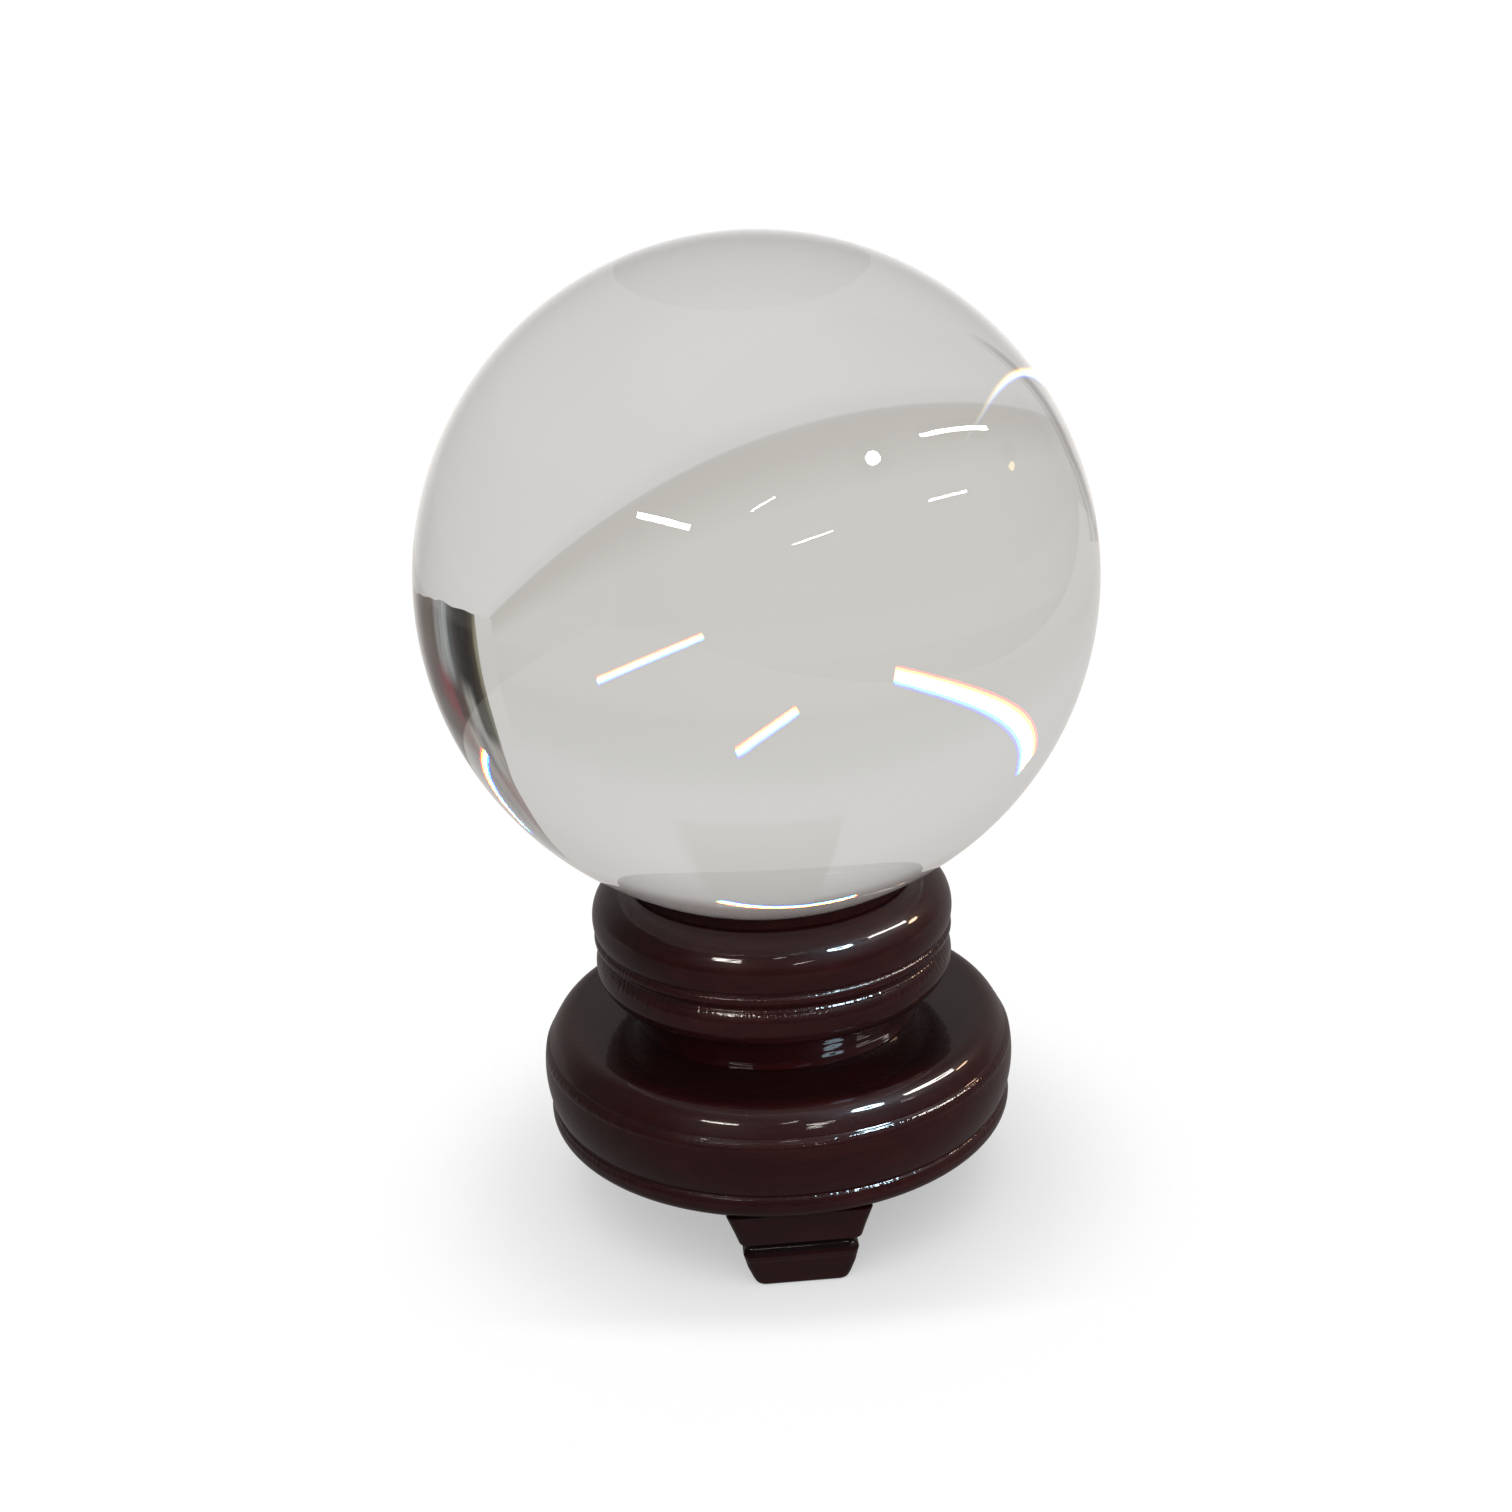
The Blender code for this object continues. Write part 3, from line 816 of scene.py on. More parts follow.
def cut_recess(screw, bottom, turn):
    """Cuts one slot of the cross recess: a bar that narrows into the head."""
    tool = bmesh.new()
    bmesh.ops.create_cube(tool, size=1.0)
    for v in tool.verts:
        low = v.co.z < 0
        v.co.x *= (4.4 if low else 1.5) * MM
        v.co.y *= (0.95 if low else 0.6) * MM
        v.co.z = (bottom - 0.5) * MM if low else (bottom + 1.7) * MM
    bmesh.ops.rotate(tool, verts=tool.verts, matrix=Matrix.Rotation(turn, 3, "Z"))
    mesh = bpy.data.meshes.new("recess_cutter")
    tool.to_mesh(mesh)
    tool.free()
    cutter = add_object("recess_cutter", mesh)
    cut = screw.modifiers.new("recess", "BOOLEAN")
    cut.operation = "DIFFERENCE"
    cut.solver = "EXACT"
    cut.object = cutter
    bpy.context.view_layer.update()
    evaluated = screw.evaluated_get(bpy.context.evaluated_depsgraph_get())
    carved = bpy.data.meshes.new_from_object(evaluated)
    screw.modifiers.clear()
    screw.data = carved
    bpy.data.objects.remove(cutter)
    bpy.data.meshes.remove(mesh)


def wood_screw():
    bottom, tip = screw_lo.z / MM, screw_hi.z / MM
    head_r = (screw_hi.x - screw_lo.x) / 2 / MM
    verts, faces = stack_rings(screw_rows(bottom, tip, head_r), flip=True)
    screw = new_object("countersunk_screw", [tuple(c * MM for c in v) for v in verts], faces)
    face_outward(screw)
    for turn in (0.0, math.pi / 2):
        cut_recess(screw, bottom, turn)
    return tidy(screw, 30)


install(wood_screw(), zinc_steel(), "collar_screw", "stand")


# ------------------------------------------------------------------------------------------
# the studio's heading, in ball radii about the ball's centre: x right, y away from the camera
# ------------------------------------------------------------------------------------------
TURN = math.radians(-3.5)  # the studio is laid out turned a little about the stand's axis


def studio_dir(v):
    c, s = math.cos(TURN), math.sin(TURN)
    return Vector((c * v[0] - s * v[1], s * v[0] + c * v[1], v[2]))


def studio(v):
    """A studio point to world metres."""
    return studio_dir(v) * BALL_R + BALL_C


def heading(az, el):
    """Unit direction: az 0 is towards the camera and grows to the camera's right, el is the
    height above the horizon, both in degrees."""
    a, e = math.radians(az), math.radians(el)
    return Vector((math.sin(a) * math.cos(e), -math.cos(a) * math.cos(e), math.sin(e)))


TO_CAMERA = tuple(studio_dir((0, -1, 0)))
TO_RIGHT = tuple(studio_dir((1, 0, 0)))
# the direction in which the ball's rim mirrors at a grazing angle
GRAZING = tuple(studio_dir((0.0, 0.965, -0.262)))
TABLE_BACK = ((-4.0, 1.09, 0), (6.0, 9.74, 0))  # two points on each edge of the table
TABLE_RIGHT = ((5.16, -2.55, 0), (8.96, 3.35, 0))


def beyond_line(tree, at, line, side):
    """Distance past a level line: side 1 counts to the left of its run, -1 to the right."""
    near, far = studio(line[0]), studio(line[1])
    along = (far - near).normalized()
    across = Vector((-along.y * side, along.x * side, 0.0))
    return tree.math("SUBTRACT", tree.dot(at, tuple(across)), float(near.dot(across)))


# ------------------------------------------------------------------------------------------
# the floor: it looks different to the camera, the glass and the lacquer
# ------------------------------------------------------------------------------------------
def floor_seen(tree, at, around):
    """To the camera: pale paper that keeps the soft shadow under the stand, with a painted glow
    that grows away from the stand and whitens the shadow out.
    """
    paper = tree.smooth(tree.noise(at, scale=60.0, detail=3.0), 0.2, 0.8, to=(0.985, 1.0))
    # the painted glow ends the shadow sooner in front of the stand
    ahead = tree.math("SUBTRACT", tree.dot(at, TO_CAMERA), 0.040)
    reached = tree.math("MULTIPLY_ADD", tree.math("MAXIMUM", ahead, 0.0), 1.8, around)
    far_off = tree.smooth(reached, 0.041, 0.068)
    lit = tree.add("ShaderNodeBsdfDiffuse", Color=tree.mix(far_off, grey(0.60), grey(0.12)))
    # painted light: a glow, weak near the stand and strong away from it, that fades the shadow
    # out
    painted_glow = tree.emission(tree.mix(paper, grey(0.995), grey(1.0)),
                         tree.math("MULTIPLY_ADD", far_off, 0.90 - 0.42, 0.42))
    return tree.add_shaders(lit.outputs[0], painted_glow)


def floor_through_glass(tree, at):
    """Through the glass: a light table with a straight back edge, darker just past it."""
    offset = beyond_line(tree, at, TABLE_BACK, side=1)
    past = tree.smooth(offset, -0.0010, 0.0012)
    span = tree.add("ShaderNodeMapRange", Value=offset, From_Min=0.0, From_Max=0.06)
    beyond = tree.ramp(span.outputs[0], (
        (0.0, 0.520, 0.510, 0.495), (0.08, 0.512, 0.488, 0.456), (0.28, 0.528, 0.508, 0.478),
        (0.48, 0.560, 0.541, 0.508), (0.80, 0.595, 0.581, 0.554), (1.0, 0.597, 0.583, 0.556)))
    horizon = tree.smooth(tree.length(at), 0.55, 3.0)
    beyond = tree.mix(horizon, beyond, (0.577, 0.563, 0.532))
    edge = tree.smooth(offset, -0.016, 0.0, to=(0.0, 0.30))
    table = tree.mix(edge, (0.648, 0.640, 0.624), (0.53, 0.52, 0.51))
    colour = tree.mix(past, table, beyond)
    # the floor on the camera's side is dim
    nearer = tree.smooth(tree.dot(at, TO_CAMERA), 0.12, 0.22, to=(0.0, 0.55))
    return tree.emission(tree.mix(nearer, colour, grey(0.06)), 1.05)


def floor_material():
    mat, tree = material("studio_floor")
    at = tree.world_at()
    around = tree.length(at)
    front = tree.smooth(tree.dot(at, TO_CAMERA), -0.15, 0.10)
    mirror_colour = tree.mix(front, (0.225, 0.205, 0.198), (0.125, 0.118, 0.115))
    # painted light: to diffuse rays the floor glows as bounce light, dimmer near the stand as
    # painted shade
    painted_bounce_strength = tree.smooth(around, 0.04, 0.20, to=(0.35, 0.9))
    tree.finish(tree.by_ray(
        diffuse=tree.emission((0.62, 0.61, 0.60), painted_bounce_strength),
        mirrored=tree.emission(mirror_colour, 1.0),
        through=floor_through_glass(tree, at),
        seen=floor_seen(tree, at, around)))
    return mat


def make_floor():
    """A wide round sweep of paper, in rings that open outward."""
    rows = [(0.0, [0.0])]
    rows += [(0.0, [r] * 64) for r in (0.05, 0.12, 0.3, 0.8, 2.0, 6.0, 20.0)]
    return new_object("studio_floor", *stack_rings(rows))


floor = make_floor()
dress(floor, floor_material())


# ------------------------------------------------------------------------------------------
# the room
# ------------------------------------------------------------------------------------------
def wall_through_glass(tree, view, up, to_camera, to_right):
    """A pale wall with a slightly greyer notice straight behind, and a dim near side."""
    wall = tree.ramp(tree.math("MULTIPLY_ADD", up, 0.5, 0.5), (  # from straight down to up
        (0.0, 0.590, 0.577, 0.550), (0.47, 0.577, 0.563, 0.532), (0.53, 0.577, 0.572, 0.552),
        (0.578, 0.618, 0.611, 0.597), (0.645, 0.622, 0.616, 0.601), (0.70, 0.620, 0.612, 0.598),
        (0.78, 0.585, 0.578, 0.562), (0.825, 0.560, 0.545, 0.53), (0.875, 0.27, 0.23, 0.22),
        (0.94, 0.20, 0.155, 0.15), (0.985, 0.50, 0.48, 0.46)))
    # the notice: bounded below, left, right and above
    away = tree.math("MAXIMUM", tree.math("MULTIPLY", to_camera, -1.0), 0.05)
    sideways = tree.math("DIVIDE", to_right, away)
    sides = tree.math("MULTIPLY", tree.smooth(sideways, -0.165, -0.150),
                      tree.smooth(sideways, 0.225, 0.165))
    notice = tree.math("MULTIPLY", tree.smooth(up, 0.215, 0.245), sides)
    notice = tree.math("MULTIPLY", notice, tree.smooth(up, 0.66, 0.74, to=(1.0, 0.0)))
    fade = tree.smooth(up, 0.22, 0.46, to=(0.45, 1.0))
    wall = tree.mix(tree.math("MULTIPLY", notice, fade), wall, (0.548, 0.540, 0.520))
    near_side = tree.smooth(to_camera, 0.45, 0.85, to=(0.0, 0.5))
    wall = tree.mix(near_side, wall, grey(0.06))
    # a dark round patch to the right of the camera
    patch = tree.smooth(tree.dot(view, tuple(studio_dir(heading(32, 20)))), 0.88, 0.985)
    return tree.mix(tree.math("MULTIPLY", patch, 0.85), wall, grey(0.03))


def room_in_lacquer(tree, up, to_camera):
    """Bright only behind the stand and overhead."""
    behind = tree.smooth(to_camera, -0.25, -0.80)
    room = tree.mix(behind, (0.080, 0.072, 0.070), (0.225, 0.208, 0.200))
    room = tree.mix(tree.smooth(to_camera, 0.0, 0.45), room, (0.022, 0.018, 0.018))
    return tree.mix(tree.smooth(up, 0.80, 0.97), room, (0.36, 0.35, 0.34))


def make_world():
    world = bpy.data.worlds.new("studio_room")
    bpy.context.scene.world = world
    world.use_nodes = True
    tree = Tree(world.node_tree, "ShaderNodeOutputWorld")
    view = tree.add("ShaderNodeTexCoord").outputs["Generated"]
    up = tree.split(view)[2]
    to_camera, to_right = tree.dot(view, TO_CAMERA), tree.dot(view, TO_RIGHT)
    wall = wall_through_glass(tree, view, up, to_camera, to_right)
    room = room_in_lacquer(tree, up, to_camera)
    tree.finish(tree.by_ray(
        diffuse=tree.background(grey(1.0), tree.smooth(up, -0.1, 1.0, to=(0.36, 1.22))),
        mirrored=tree.background(room, 1.0),
        through=tree.background(wall, 1.05),
        seen=tree.background(grey(1.0), 1.05)))


make_world()


# ------------------------------------------------------------------------------------------
# lamps, which only mirrors and glass can see
# ------------------------------------------------------------------------------------------
def glow(name, colour, strength):
    mat, tree = material(name)
    flow = tree.noise(tree.object_at(), scale=4.0)
    brighter = tuple(min(1.0, c * 1.02) for c in colour)
    tone = tree.mix(tree.smooth(flow, 0.3, 0.7), colour, brighter)
    tree.finish(tree.emission(tone, strength))
    return mat


def finish_clear(mat, tree, light):
    """Adds the light to everything behind it, so that overlapping surfaces add up."""
    tree.finish(tree.add_shaders(light, tree.clear()))
    mat.cycles.emission_sampling = "NONE"
    return mat


def clear_glow(name, colour, strength):
    mat, tree = material(name)
    flow = tree.noise(tree.object_at(), scale=4.0)
    power = tree.smooth(flow, 0.2, 0.8, to=(strength * 0.97, strength))
    return finish_clear(mat, tree, tree.emission(colour, power))


def stage(obj, mat, mirrored=False, through=False, seen_by=None):
    """Shows a stage surface only in mirrors or through glass, to one group if given."""
    dress(obj, mat)
    obj.visible_camera = False
    obj.visible_diffuse = False
    obj.visible_shadow = False
    obj.visible_volume_scatter = False
    obj.visible_glossy = mirrored
    obj.visible_transmission = through
    if seen_by is not None:
        obj.light_linking.receiver_collection = seen_by


def panel(name, corners, mat, **kinds):
    stage(new_object(name, corners, [tuple(range(len(corners)))]), mat, **kinds)


def strip(name, start, end, width, distance, mat, shift=(0.0, 0.0), **kinds):
    """A strip lamp between two headings (az, el), width in degrees, distance in ball radii."""
    a = heading(start[0] + shift[0], start[1] + shift[1]) * distance
    b = heading(end[0] + shift[0], end[1] + shift[1]) * distance
    run = (b - a).normalized()
    wide = run.cross((a + b) / 2).normalized() * (distance * math.radians(width) / 2)
    panel(name, [studio(p) for p in (a - wide, a + wide, b + wide, b - wide)], mat, **kinds)


def round_lamp(name, centre, across, upward, distance, mat, **kinds):
    """A round lamp: its centre and its two half-axes are (az, el) in degrees."""
    rim = []
    for k in range(20):
        c, s = math.cos(math.pi * k / 10), math.sin(math.pi * k / 10)
        az, el = (centre[i] + c * across[i] + s * upward[i] for i in (0, 1))
        rim.append(studio(heading(az, el) * distance))
    panel(name, rim, mat, **kinds)


def linked(name, objects):
    group = bpy.data.collections.new(name)
    for obj in objects:
        group.objects.link(obj)
    return group


stand_pieces = [
    o for o in bpy.data.objects if "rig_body" in o and o.type == "MESH" and o is not ball]
only_ball = linked("seen_by_the_ball", [ball])
only_stand = linked("seen_by_the_stand", stand_pieces)

LAMP_DISTANCE = 12.0  # ball radii
STRIP_LAMPS = (
    # name, one end and the other end (az, el), then (width, strength) for the ball
    # and for the lacquer
    ("left", (-41.4, 31.7), (-21.8, 30.2), (1.8, 40.0), (3.0, 64.0)),
    ("middle", (-0.7, 35.5), (8.4, 39.2), (0.5, 48.0), (0.9, 34.0)),
    ("right", (12.1, 24.5), (26.3, 26.8), (0.34, 48.0), (0.9, 28.0)),
    ("far_right", (75.7, 40.9), (103.7, 27.9), (1.05, 36.0), (5.0, 40.0)),
    ("side", (62.9, 26.2), (78.6, 23.0), (0.6, 40.0), (0.8, 15.0)),
)
for name, start, end, for_ball, for_lacquer in STRIP_LAMPS:
    # prefix, (width, strength), colour, distance behind the first lamps, receivers
    for prefix, (width, power), colour, behind, group in (
            ("", for_ball, (1.0, 0.97, 0.93), 0.0, only_ball),
            ("lacquer_", for_lacquer, (1.0, 0.93, 0.86), 0.3, only_stand)):
        strip(prefix + "strip_" + name, start, end, width, LAMP_DISTANCE + behind,
              glow(prefix + "lamp_" + name, colour, power), mirrored=True, seen_by=group)

ROUND_LAMPS = (
    # name, material, centre, half-axis across, half-axis up, distance behind the first lamps,
    # colour, strength, receivers
    ("window", "lamp_window", (51.4, 43.1), (2.8, -0.9), (1.75, 1.75), 0.0,
     (0.80, 0.93, 1.0), 60.0, only_ball),
    ("lacquer_window", "lacquer_lamp_window", (51.4, 43.1), (9.0, -2.9), (5.2, 5.2), 0.5,
     (0.62, 0.85, 1.0), 75.0, only_stand),
    ("warm_lamp", "lamp_warm", (102.7, 18.4), (1.3, -0.65), (1.25, 0.5), 0.0,
     (1.0, 0.72, 0.30), 6.0, only_ball),
    ("lacquer_warm_lamp", "lacquer_lamp_warm", (104.7, 20.4), (4.2, -1.6), (2.0, 1.6), 0.2,
     (1.0, 0.62, 0.42), 26.0, only_stand),
)
for name, lamp, centre, across, upward, behind, colour, power, group in ROUND_LAMPS:
    round_lamp(name, centre, across, upward, LAMP_DISTANCE + behind,
               glow(lamp, colour, power), mirrored=True, seen_by=group)

# the same lamps as the glass passes them on: it parts their colours, red one way, blue the other
SPLIT_LAMPS = (
    # name, one end and the other end (az, el), width in degrees, how far the colours part
    ("left", (-42.0, 29.0), (-21.5, 28.4), 2.0, 0.30),
    ("middle", (-6.0, 34.3), (4.9, 39.5), 0.95, 0.22),
    ("right", (9.0, 23.0), (25.4, 26.6), 0.74, 0.18),
)
SPLIT_COLOURS = (
    ("red", (1.0, 0.0, 0.0), -1.0), ("green", (0.0, 1.0, 0.0), 0.0),
    ("blue", (0.0, 0.0, 1.0), 1.0))
for k, (tag, colour, side) in enumerate(SPLIT_COLOURS):
    mat = clear_glow("lamp_" + tag, colour, strength=60.0)
    for name, start, end, width, parting in SPLIT_LAMPS:
        strip("split_%s_%s" % (name, tag), start, end, width, LAMP_DISTANCE + 0.15 * k, mat,
              shift=(0.0, parting * side), through=True)


# ------------------------------------------------------------------------------------------
# the curled image of the far right lamp near the edge of the ball
# ------------------------------------------------------------------------------------------
ARC_EDGES = (  # (az, el) along the outer edge and along the inner edge
    ((88.55, 32.09), (88.88, 31.41)), ((91.31, 32.06), (91.7, 31.23)),
    ((94.21, 31.96), (94.72, 30.98)), ((97.54, 31.8), (98.19, 30.67)),
    ((101.1, 31.5), (101.83, 30.22)), ((104.63, 31.07), (105.44, 29.61)),
    ((108.23, 30.49), (109.17, 28.83)), ((112.01, 29.74), (113.06, 27.85)),
    ((115.94, 28.73), (116.92, 26.65)), ((119.89, 27.41), (120.64, 25.23)),
    ((123.92, 25.76), (124.34, 23.59)), ((128.19, 23.65), (128.18, 21.62)),
    ((132.5, 21.17), (131.89, 19.49)), ((136.62, 18.47), (135.09, 17.48)),
    ((140.75, 15.46), (137.97, 15.51)), ((145.15, 12.01), (140.56, 13.61)),
    ((150.07, 7.9), (142.82, 11.87)), ((155.67, 3.11), (145.09, 10.03)),
    ((164.08, -3.77), (147.71, 7.83)), ((165.4, -5.09), (151.08, 5.01)),
    ((166.34, -6.11), (154.75, 1.98)), ((166.6, -6.3), (157.57, -0.44)),
    ((166.8, -6.5), (160.95, -3.18)))


def arc_material():
    """Yellow along the outer edge, white inside, blue along the inner edge."""
    mat, tree = material("arc_light")
    u, v, _ = tree.split(tree.uv())
    power = tree.ramp(u, (
        (0.0, 0.05), (0.10, 0.16), (0.25, 0.36), (0.42, 0.62), (0.62, 0.80), (0.80, 0.60),
        (1.0, 0.40)))
    colour = tree.ramp(v, (
        (0.0, 0.0), (0.16, 0.30, 0.12, 0.01), (0.34, 0.95, 0.72, 0.20), (0.52, 1.0, 1.0, 0.92),
        (0.68, 0.55, 0.80, 1.0), (0.84, 0.04, 0.13, 0.75), (1.0, 0.0)))
    light = tree.emission(colour, tree.math("MULTIPLY", power, 6.5))
    return finish_clear(mat, tree, light)


def arc_point(a, b, t):
    return studio(heading(*a) * LAMP_DISTANCE).lerp(studio(heading(*b) * LAMP_DISTANCE), t)


stage(ribbon("arc_light", ARC_EDGES, 6, arc_point), arc_material(), mirrored=True,
      seen_by=only_ball)


# ------------------------------------------------------------------------------------------
# dark furniture at the right of the room, a curved screen only the glass shows
# ------------------------------------------------------------------------------------------
# colours along u, which runs over headings 105 to 150; v runs over heights -12 to 40
FLAG_LOW = (
    (0.0, 0.22, 0.20, 0.18), (0.30, 0.15, 0.115, 0.095), (0.51, 0.13, 0.095, 0.075),
    (0.545, 0.34, 0.33, 0.32), (0.60, 0.36, 0.37, 0.36), (0.66, 0.40, 0.43, 0.42),
    (0.70, 0.10, 0.11, 0.11), (0.75, 0.035, 0.03, 0.03), (0.79, 0.0),
    (0.85, 0.008, 0.004, 0.002), (0.885, 0.06, 0.045, 0.02), (0.905, 0.30, 0.28, 0.20))
FLAG_HIGHER = (  # the v over which each set takes over from the one below, and its colours
    (0.20, 0.29, (
        (0.0, 0.20, 0.18, 0.17), (0.40, 0.08, 0.045, 0.040), (0.46, 0.11, 0.045, 0.045),
        (0.53, 0.26, 0.045, 0.060), (0.62, 0.22, 0.04, 0.05), (0.66, 0.07, 0.03, 0.03),
        (0.72, 0.09, 0.05, 0.04), (0.765, 0.42, 0.42, 0.38), (0.80, 0.36, 0.36, 0.33),
        (0.83, 0.01, 0.008, 0.006), (0.885, 0.06, 0.05, 0.03), (0.905, 0.28, 0.26, 0.20))),
    (0.34, 0.40, (
        (0.0, 0.18, 0.17, 0.16), (0.40, 0.09, 0.07, 0.065), (0.56, 0.16, 0.09, 0.08),
        (0.64, 0.22, 0.10, 0.09), (0.70, 0.40, 0.38, 0.33), (0.76, 0.14, 0.12, 0.14),
        (0.81, 0.42, 0.41, 0.37), (0.87, 0.32, 0.29, 0.26), (0.91, 0.50, 0.48, 0.44))),
    (0.46, 0.53, (
        (0.0, 0.30, 0.30, 0.28), (0.50, 0.30, 0.29, 0.27), (0.66, 0.17, 0.17, 0.17),
        (0.72, 0.31, 0.27, 0.25), (0.77, 0.24, 0.15, 0.14), (0.83, 0.33, 0.24, 0.22),
        (0.90, 0.50, 0.48, 0.44))),
)
FLAG_LEFT, FLAG_SPAN, FLAG_TOP = 103, 43, 38  # degrees
FLAG_FOOT = (  # az, el
    (103, 112, 123, 133, 140, 145, 147.6), (-5.5, -6.4, -8.3, -9.8, -10.1, -10.3, -10.5))
FLAG_RIGHT = (  # el, az
    (-11, -8, -4, 0, 3, 6, 9.5, 14, 18, 23, 31, 38),
    (146.0, 146.2, 146.2, 146.2, 146.1, 145.6, 144.8, 143.2, 142.7, 141.4, 138.6, 137.0))


def flag_material():
    mat, tree = material("side_flag")
    uv = tree.uv()
    u, v, _ = tree.split(uv)
    fine = tree.vector("MULTIPLY", uv, (46.0, 5.0, 1.0)).outputs[0]
    streaks = tree.noise(fine, scale=1.0, detail=3.0)
    stir = tree.math("SUBTRACT", tree.noise(uv, scale=7.0), 0.5)
    u = tree.math("ADD", u, tree.math("MULTIPLY", stir, 0.035))
    colour = tree.ramp(u, FLAG_LOW)
    for start, end, stops in FLAG_HIGHER:
        colour = tree.mix(tree.smooth(v, start, end), colour, tree.ramp(u, stops))
    dark = tree.smooth(streaks, 0.35, 0.65, to=(0.0, 0.38))
    tree.finish(tree.emission(tree.mix(dark, colour, grey(0.03)), 1.0))
    mat.cycles.emission_sampling = "NONE"
    return mat


def flag_sheet(columns=36, rows=30):
    grid = []
    for j in range(rows + 1):
        row = []
        for i in range(columns + 1):
            base = float(np.interp(FLAG_LEFT + FLAG_SPAN * i / columns, *FLAG_FOOT))
            base += 0.10 * math.sin(i * 0.9)
            el = base + (FLAG_TOP - base) * (j / rows)
            az = FLAG_LEFT + (float(np.interp(el, *FLAG_RIGHT)) - FLAG_LEFT) * i / columns
            row.append((tuple(studio(heading(az, el) * 10.5)), ((az - 105) / 45, (el + 12) / 52)))
        grid.append(row)
    return uv_sheet("side_flag", grid)


stage(flag_sheet(), flag_material(), through=True)


# ------------------------------------------------------------------------------------------
# a dark cable on the floor to the rear left and a pale column, which only the glass shows
# ------------------------------------------------------------------------------------------
CABLE_EDGES = (  # (x, y) of the cable's far and near edges, in ball radii
    ((-1.22, 2.24), (-1.27, 2.04)), ((-1.42, 2.18), (-1.48, 1.96)),
    ((-1.64, 2.16), (-1.72, 1.90)), ((-1.83, 2.16), (-1.94, 1.86)),
    ((-2.08, 2.14), (-2.23, 1.78)), ((-2.38, 2.19), (-2.58, 1.76)),
    ((-2.71, 2.29), (-2.98, 1.82)), ((-3.08, 2.45), (-3.42, 1.93)),
    ((-3.49, 2.65), (-3.91, 2.10)), ((-4.12, 2.81), (-4.79, 2.10)),
    ((-4.89, 3.09), (-5.92, 2.23)), ((-5.77, 3.33), (-7.50, 2.17)),
    ((-6.81, 3.74), (-9.50, 2.36)), ((-8.29, 4.30), (-13.24, 2.57)),
    ((-9.49, 4.84), (-16.55, 3.08)))
CABLE_Z = 0.0004 / BALL_R - BALL_C.z / BALL_R  # just above the floor
CABLE_WIDEN = 1.25


def cable_material():
    mat, tree = material("floor_cable")
    u, v, _ = tree.split(tree.uv())
    body = tree.ramp(v, (
        (0.0, 0.0), (0.14, 0.45), (0.24, 0.10), (0.42, 0.85), (0.70, 1.0), (1.0, 0.0)))
    along = tree.ramp(u, ((0.0, 0.0), (0.12, 0.55), (0.45, 0.80), (0.8, 1.0), (1.0, 1.0)))
    colour = tree.ramp(u, ((0.0, 0.26, 0.20, 0.18), (0.6, 0.08, 0.055, 0.05), (1.0, 0.0)))
    amount = tree.math("MULTIPLY", body, along)
    tree.finish(tree.mix_shaders(amount, tree.clear(), tree.emission(colour, 1.0)))
    mat.cycles.emission_sampling = "NONE"
    return mat


def cable_point(a, b, t):
    middle = Vector(((a[0] + b[0]) / 2, (a[1] + b[1]) / 2, CABLE_Z))
    a, b = (middle + (Vector((*p, CABLE_Z)) - middle) * CABLE_WIDEN for p in (a, b))
    return studio(a.lerp(b, t))


stage(ribbon("floor_cable", CABLE_EDGES, 8, cable_point), cable_material(), through=True)

COLUMN_CORNERS = ((145, -10.35), (150.2, -10.4), (150.2, 6), (145, 6))  # az, el
panel("pale_column", [studio(heading(az, el) * 10.8) for az, el in COLUMN_CORNERS],
      glow("pale_column", (0.63, 0.62, 0.595), 1.0), through=True)


# ------------------------------------------------------------------------------------------
# a pale surround and table top that only the outside of the ball mirrors, so that its rim
# stays as light as the room behind it
# ------------------------------------------------------------------------------------------
def towards_grazing(tree, at):
    from_ball = tree.vector("SUBTRACT", at, tuple(BALL_C)).outputs[0]
    return tree.dot(tree.vector("NORMALIZE", from_ball).outputs[0], GRAZING)


def surround_material():
    mat, tree = material("pale_surround")
    at = tree.world_at()
    from_ball = tree.vector("SUBTRACT", at, tuple(BALL_C)).outputs[0]
    rear_left = tree.dot(from_ball, tuple(studio_dir(heading(-134, 0))))
    power = tree.math(
        "ADD", tree.smooth(rear_left, -0.02, 0.02, to=(0.17, 0.27)),
        tree.smooth(towards_grazing(tree, at), 0.78, 0.98, to=(0.0, 0.62)))
    return finish_clear(mat, tree, tree.emission((0.98, 0.99, 1.0), power))


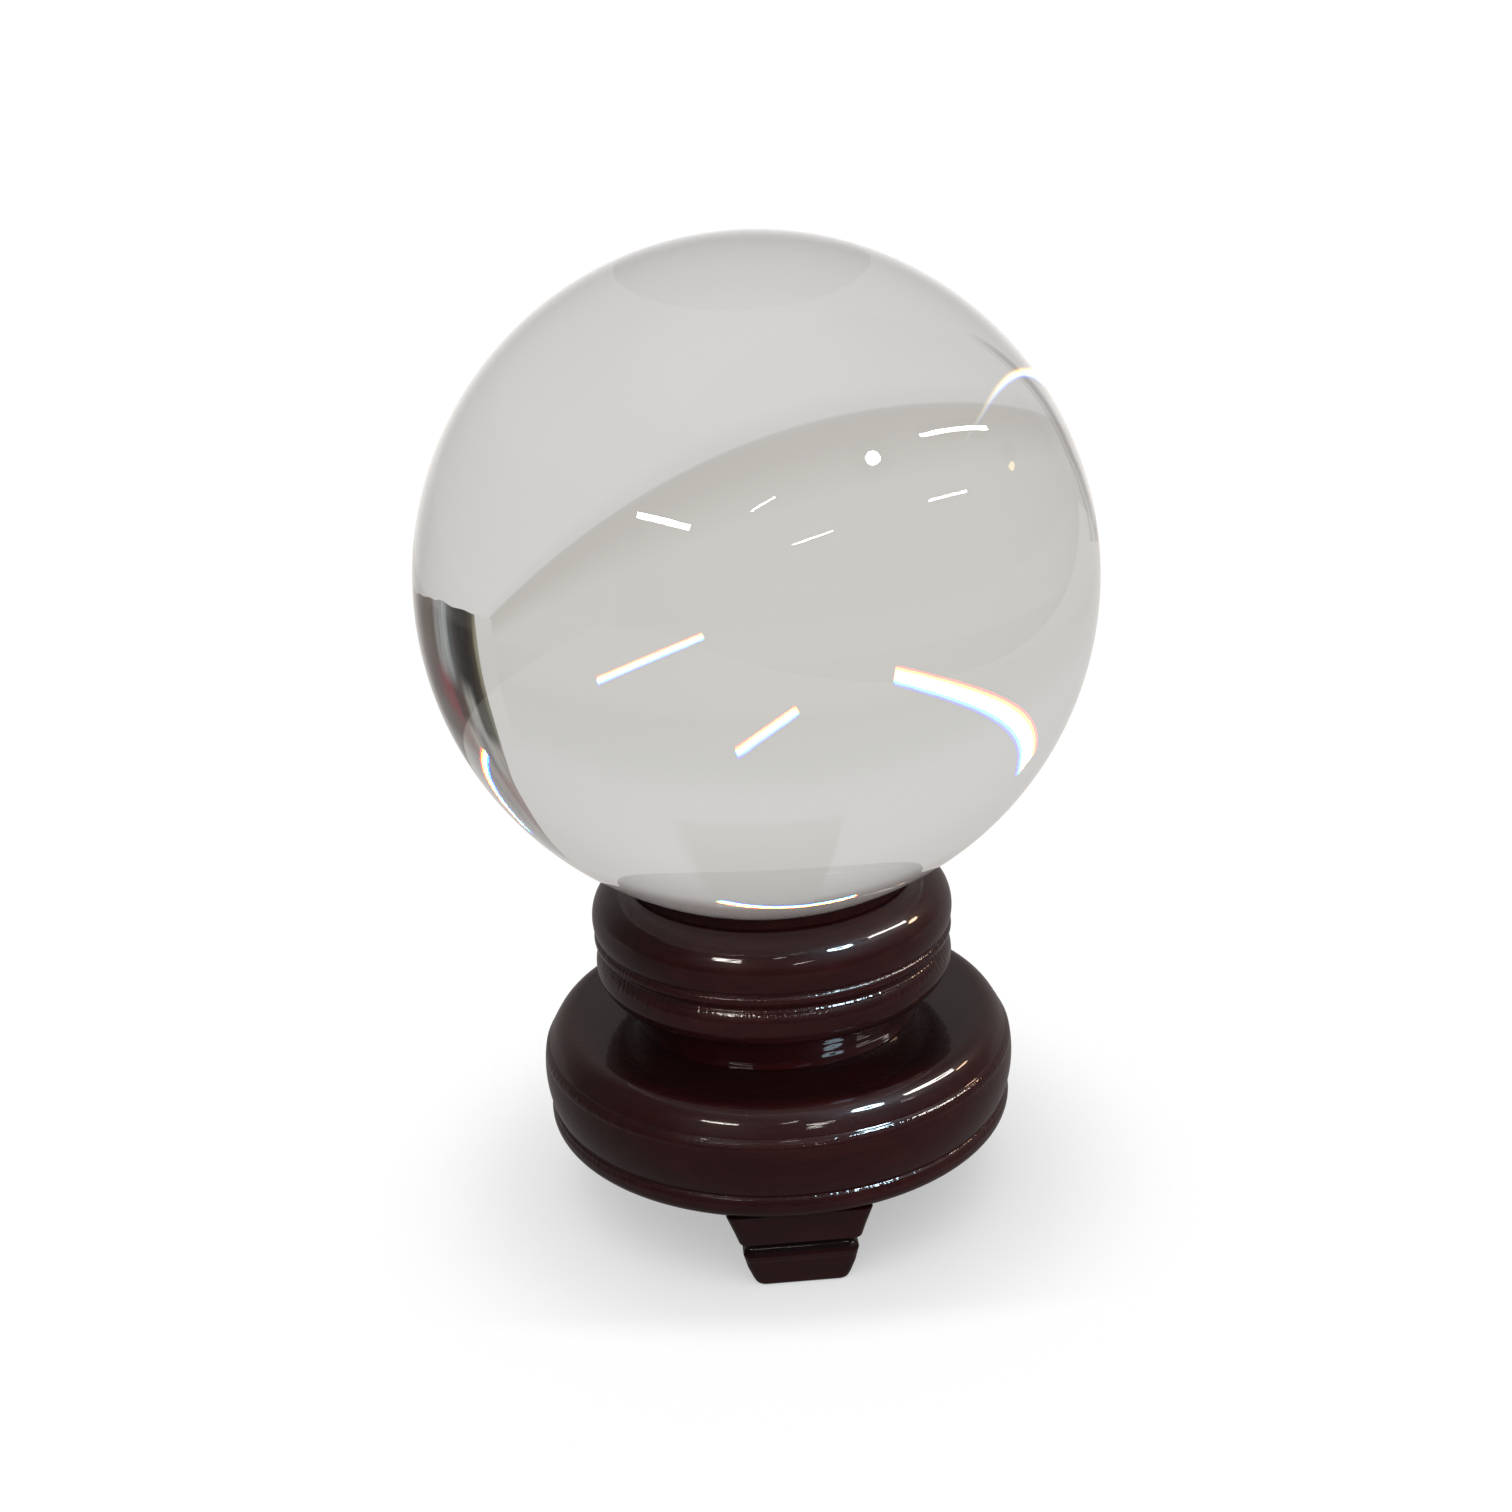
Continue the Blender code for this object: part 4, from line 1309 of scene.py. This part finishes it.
def table_material():
    mat, tree = material("pale_table")
    at = tree.world_at()
    back = beyond_line(tree, at, TABLE_BACK, side=1)
    right = beyond_line(tree, at, TABLE_RIGHT, side=-1)
    on_table = tree.math("MULTIPLY", tree.smooth(back, 0.002, -0.002),
                         tree.smooth(right, 0.002, -0.002))
    reach = tree.length(at)
    grazing = tree.smooth(towards_grazing(tree, at), 0.74, 0.96, to=(0.0, 0.62))
    # the grazing light is weaker on the table, which has a steady light of its own
    grazing = tree.math(
        "MULTIPLY", grazing, tree.math("MULTIPLY_ADD", on_table, -0.85, 1.0))
    lit = tree.math("MULTIPLY_ADD", on_table, 0.28, grazing)
    extra = tree.math("MAXIMUM", tree.math("MULTIPLY", on_table, 0.20),
                      tree.smooth(reach, 0.50, 0.57, to=(0.0, 0.20)))
    # the sheet ends where it meets the surround
    power = tree.math("MULTIPLY", tree.math("ADD", lit, extra), tree.smooth(reach, 4.99, 4.98))
    return finish_clear(mat, tree, tree.emission((1.0, 0.985, 0.96), power))


surround = cube_sphere("pale_surround", 5.0, cuts=24)
surround.location = BALL_C
stage(surround, surround_material(), mirrored=True, seen_by=only_ball)

sheet = make_floor()
sheet.name = "pale_table"
sheet.location = (0.0, 0.0, 0.0002)
stage(sheet, table_material(), mirrored=True, seen_by=only_ball)

# a soft key light on the stand alone
key_data = bpy.data.lights.new("soft_key", "AREA")
key_data.shape = "DISK"
key_data.size = 1.0
key_data.energy = 22.0
key = add_object("soft_key", key_data)
key.location = studio(heading(28, 26) * 25)
key.rotation_euler = (BALL_C - key.location).to_track_quat("-Z", "Y").to_euler()
key.visible_glossy = False
key.visible_transmission = False
key.visible_camera = False
key.light_linking.receiver_collection = only_stand


# ------------------------------------------------------------------------------------------
# the camera, placed in ball radii about the ball's centre
# ------------------------------------------------------------------------------------------
CAMERA_AT = (0.0, -5.7074659, 1.55433427)
CAMERA_RIGHT = (0.99889771, -0.01218739, -0.04533023)
CAMERA_UP = (0.04674483, 0.34624358, 0.93697935)
CAMERA_FORWARD = (-0.00427597, 0.93806548, -0.34643162)

camera_data = bpy.data.cameras.new("camera")
camera = add_object("camera", camera_data)
camera_data.sensor_width = 36.0
camera_data.sensor_fit = "HORIZONTAL"
camera_data.lens = 47.62
camera_data.clip_start = 0.01
camera_data.clip_end = 100.0
axes = (studio_dir(CAMERA_RIGHT), studio_dir(CAMERA_UP), -studio_dir(CAMERA_FORWARD))
spin = Matrix(axes).transposed().to_4x4()
camera.matrix_world = Matrix.Translation(studio(CAMERA_AT)) @ spin

scene = bpy.context.scene
scene.camera = camera
scene.view_settings.view_transform = "Standard"
scene.view_settings.look = "None"
scene.cycles.sample_clamp_indirect = 0.0

bpy.context.view_layer.update()
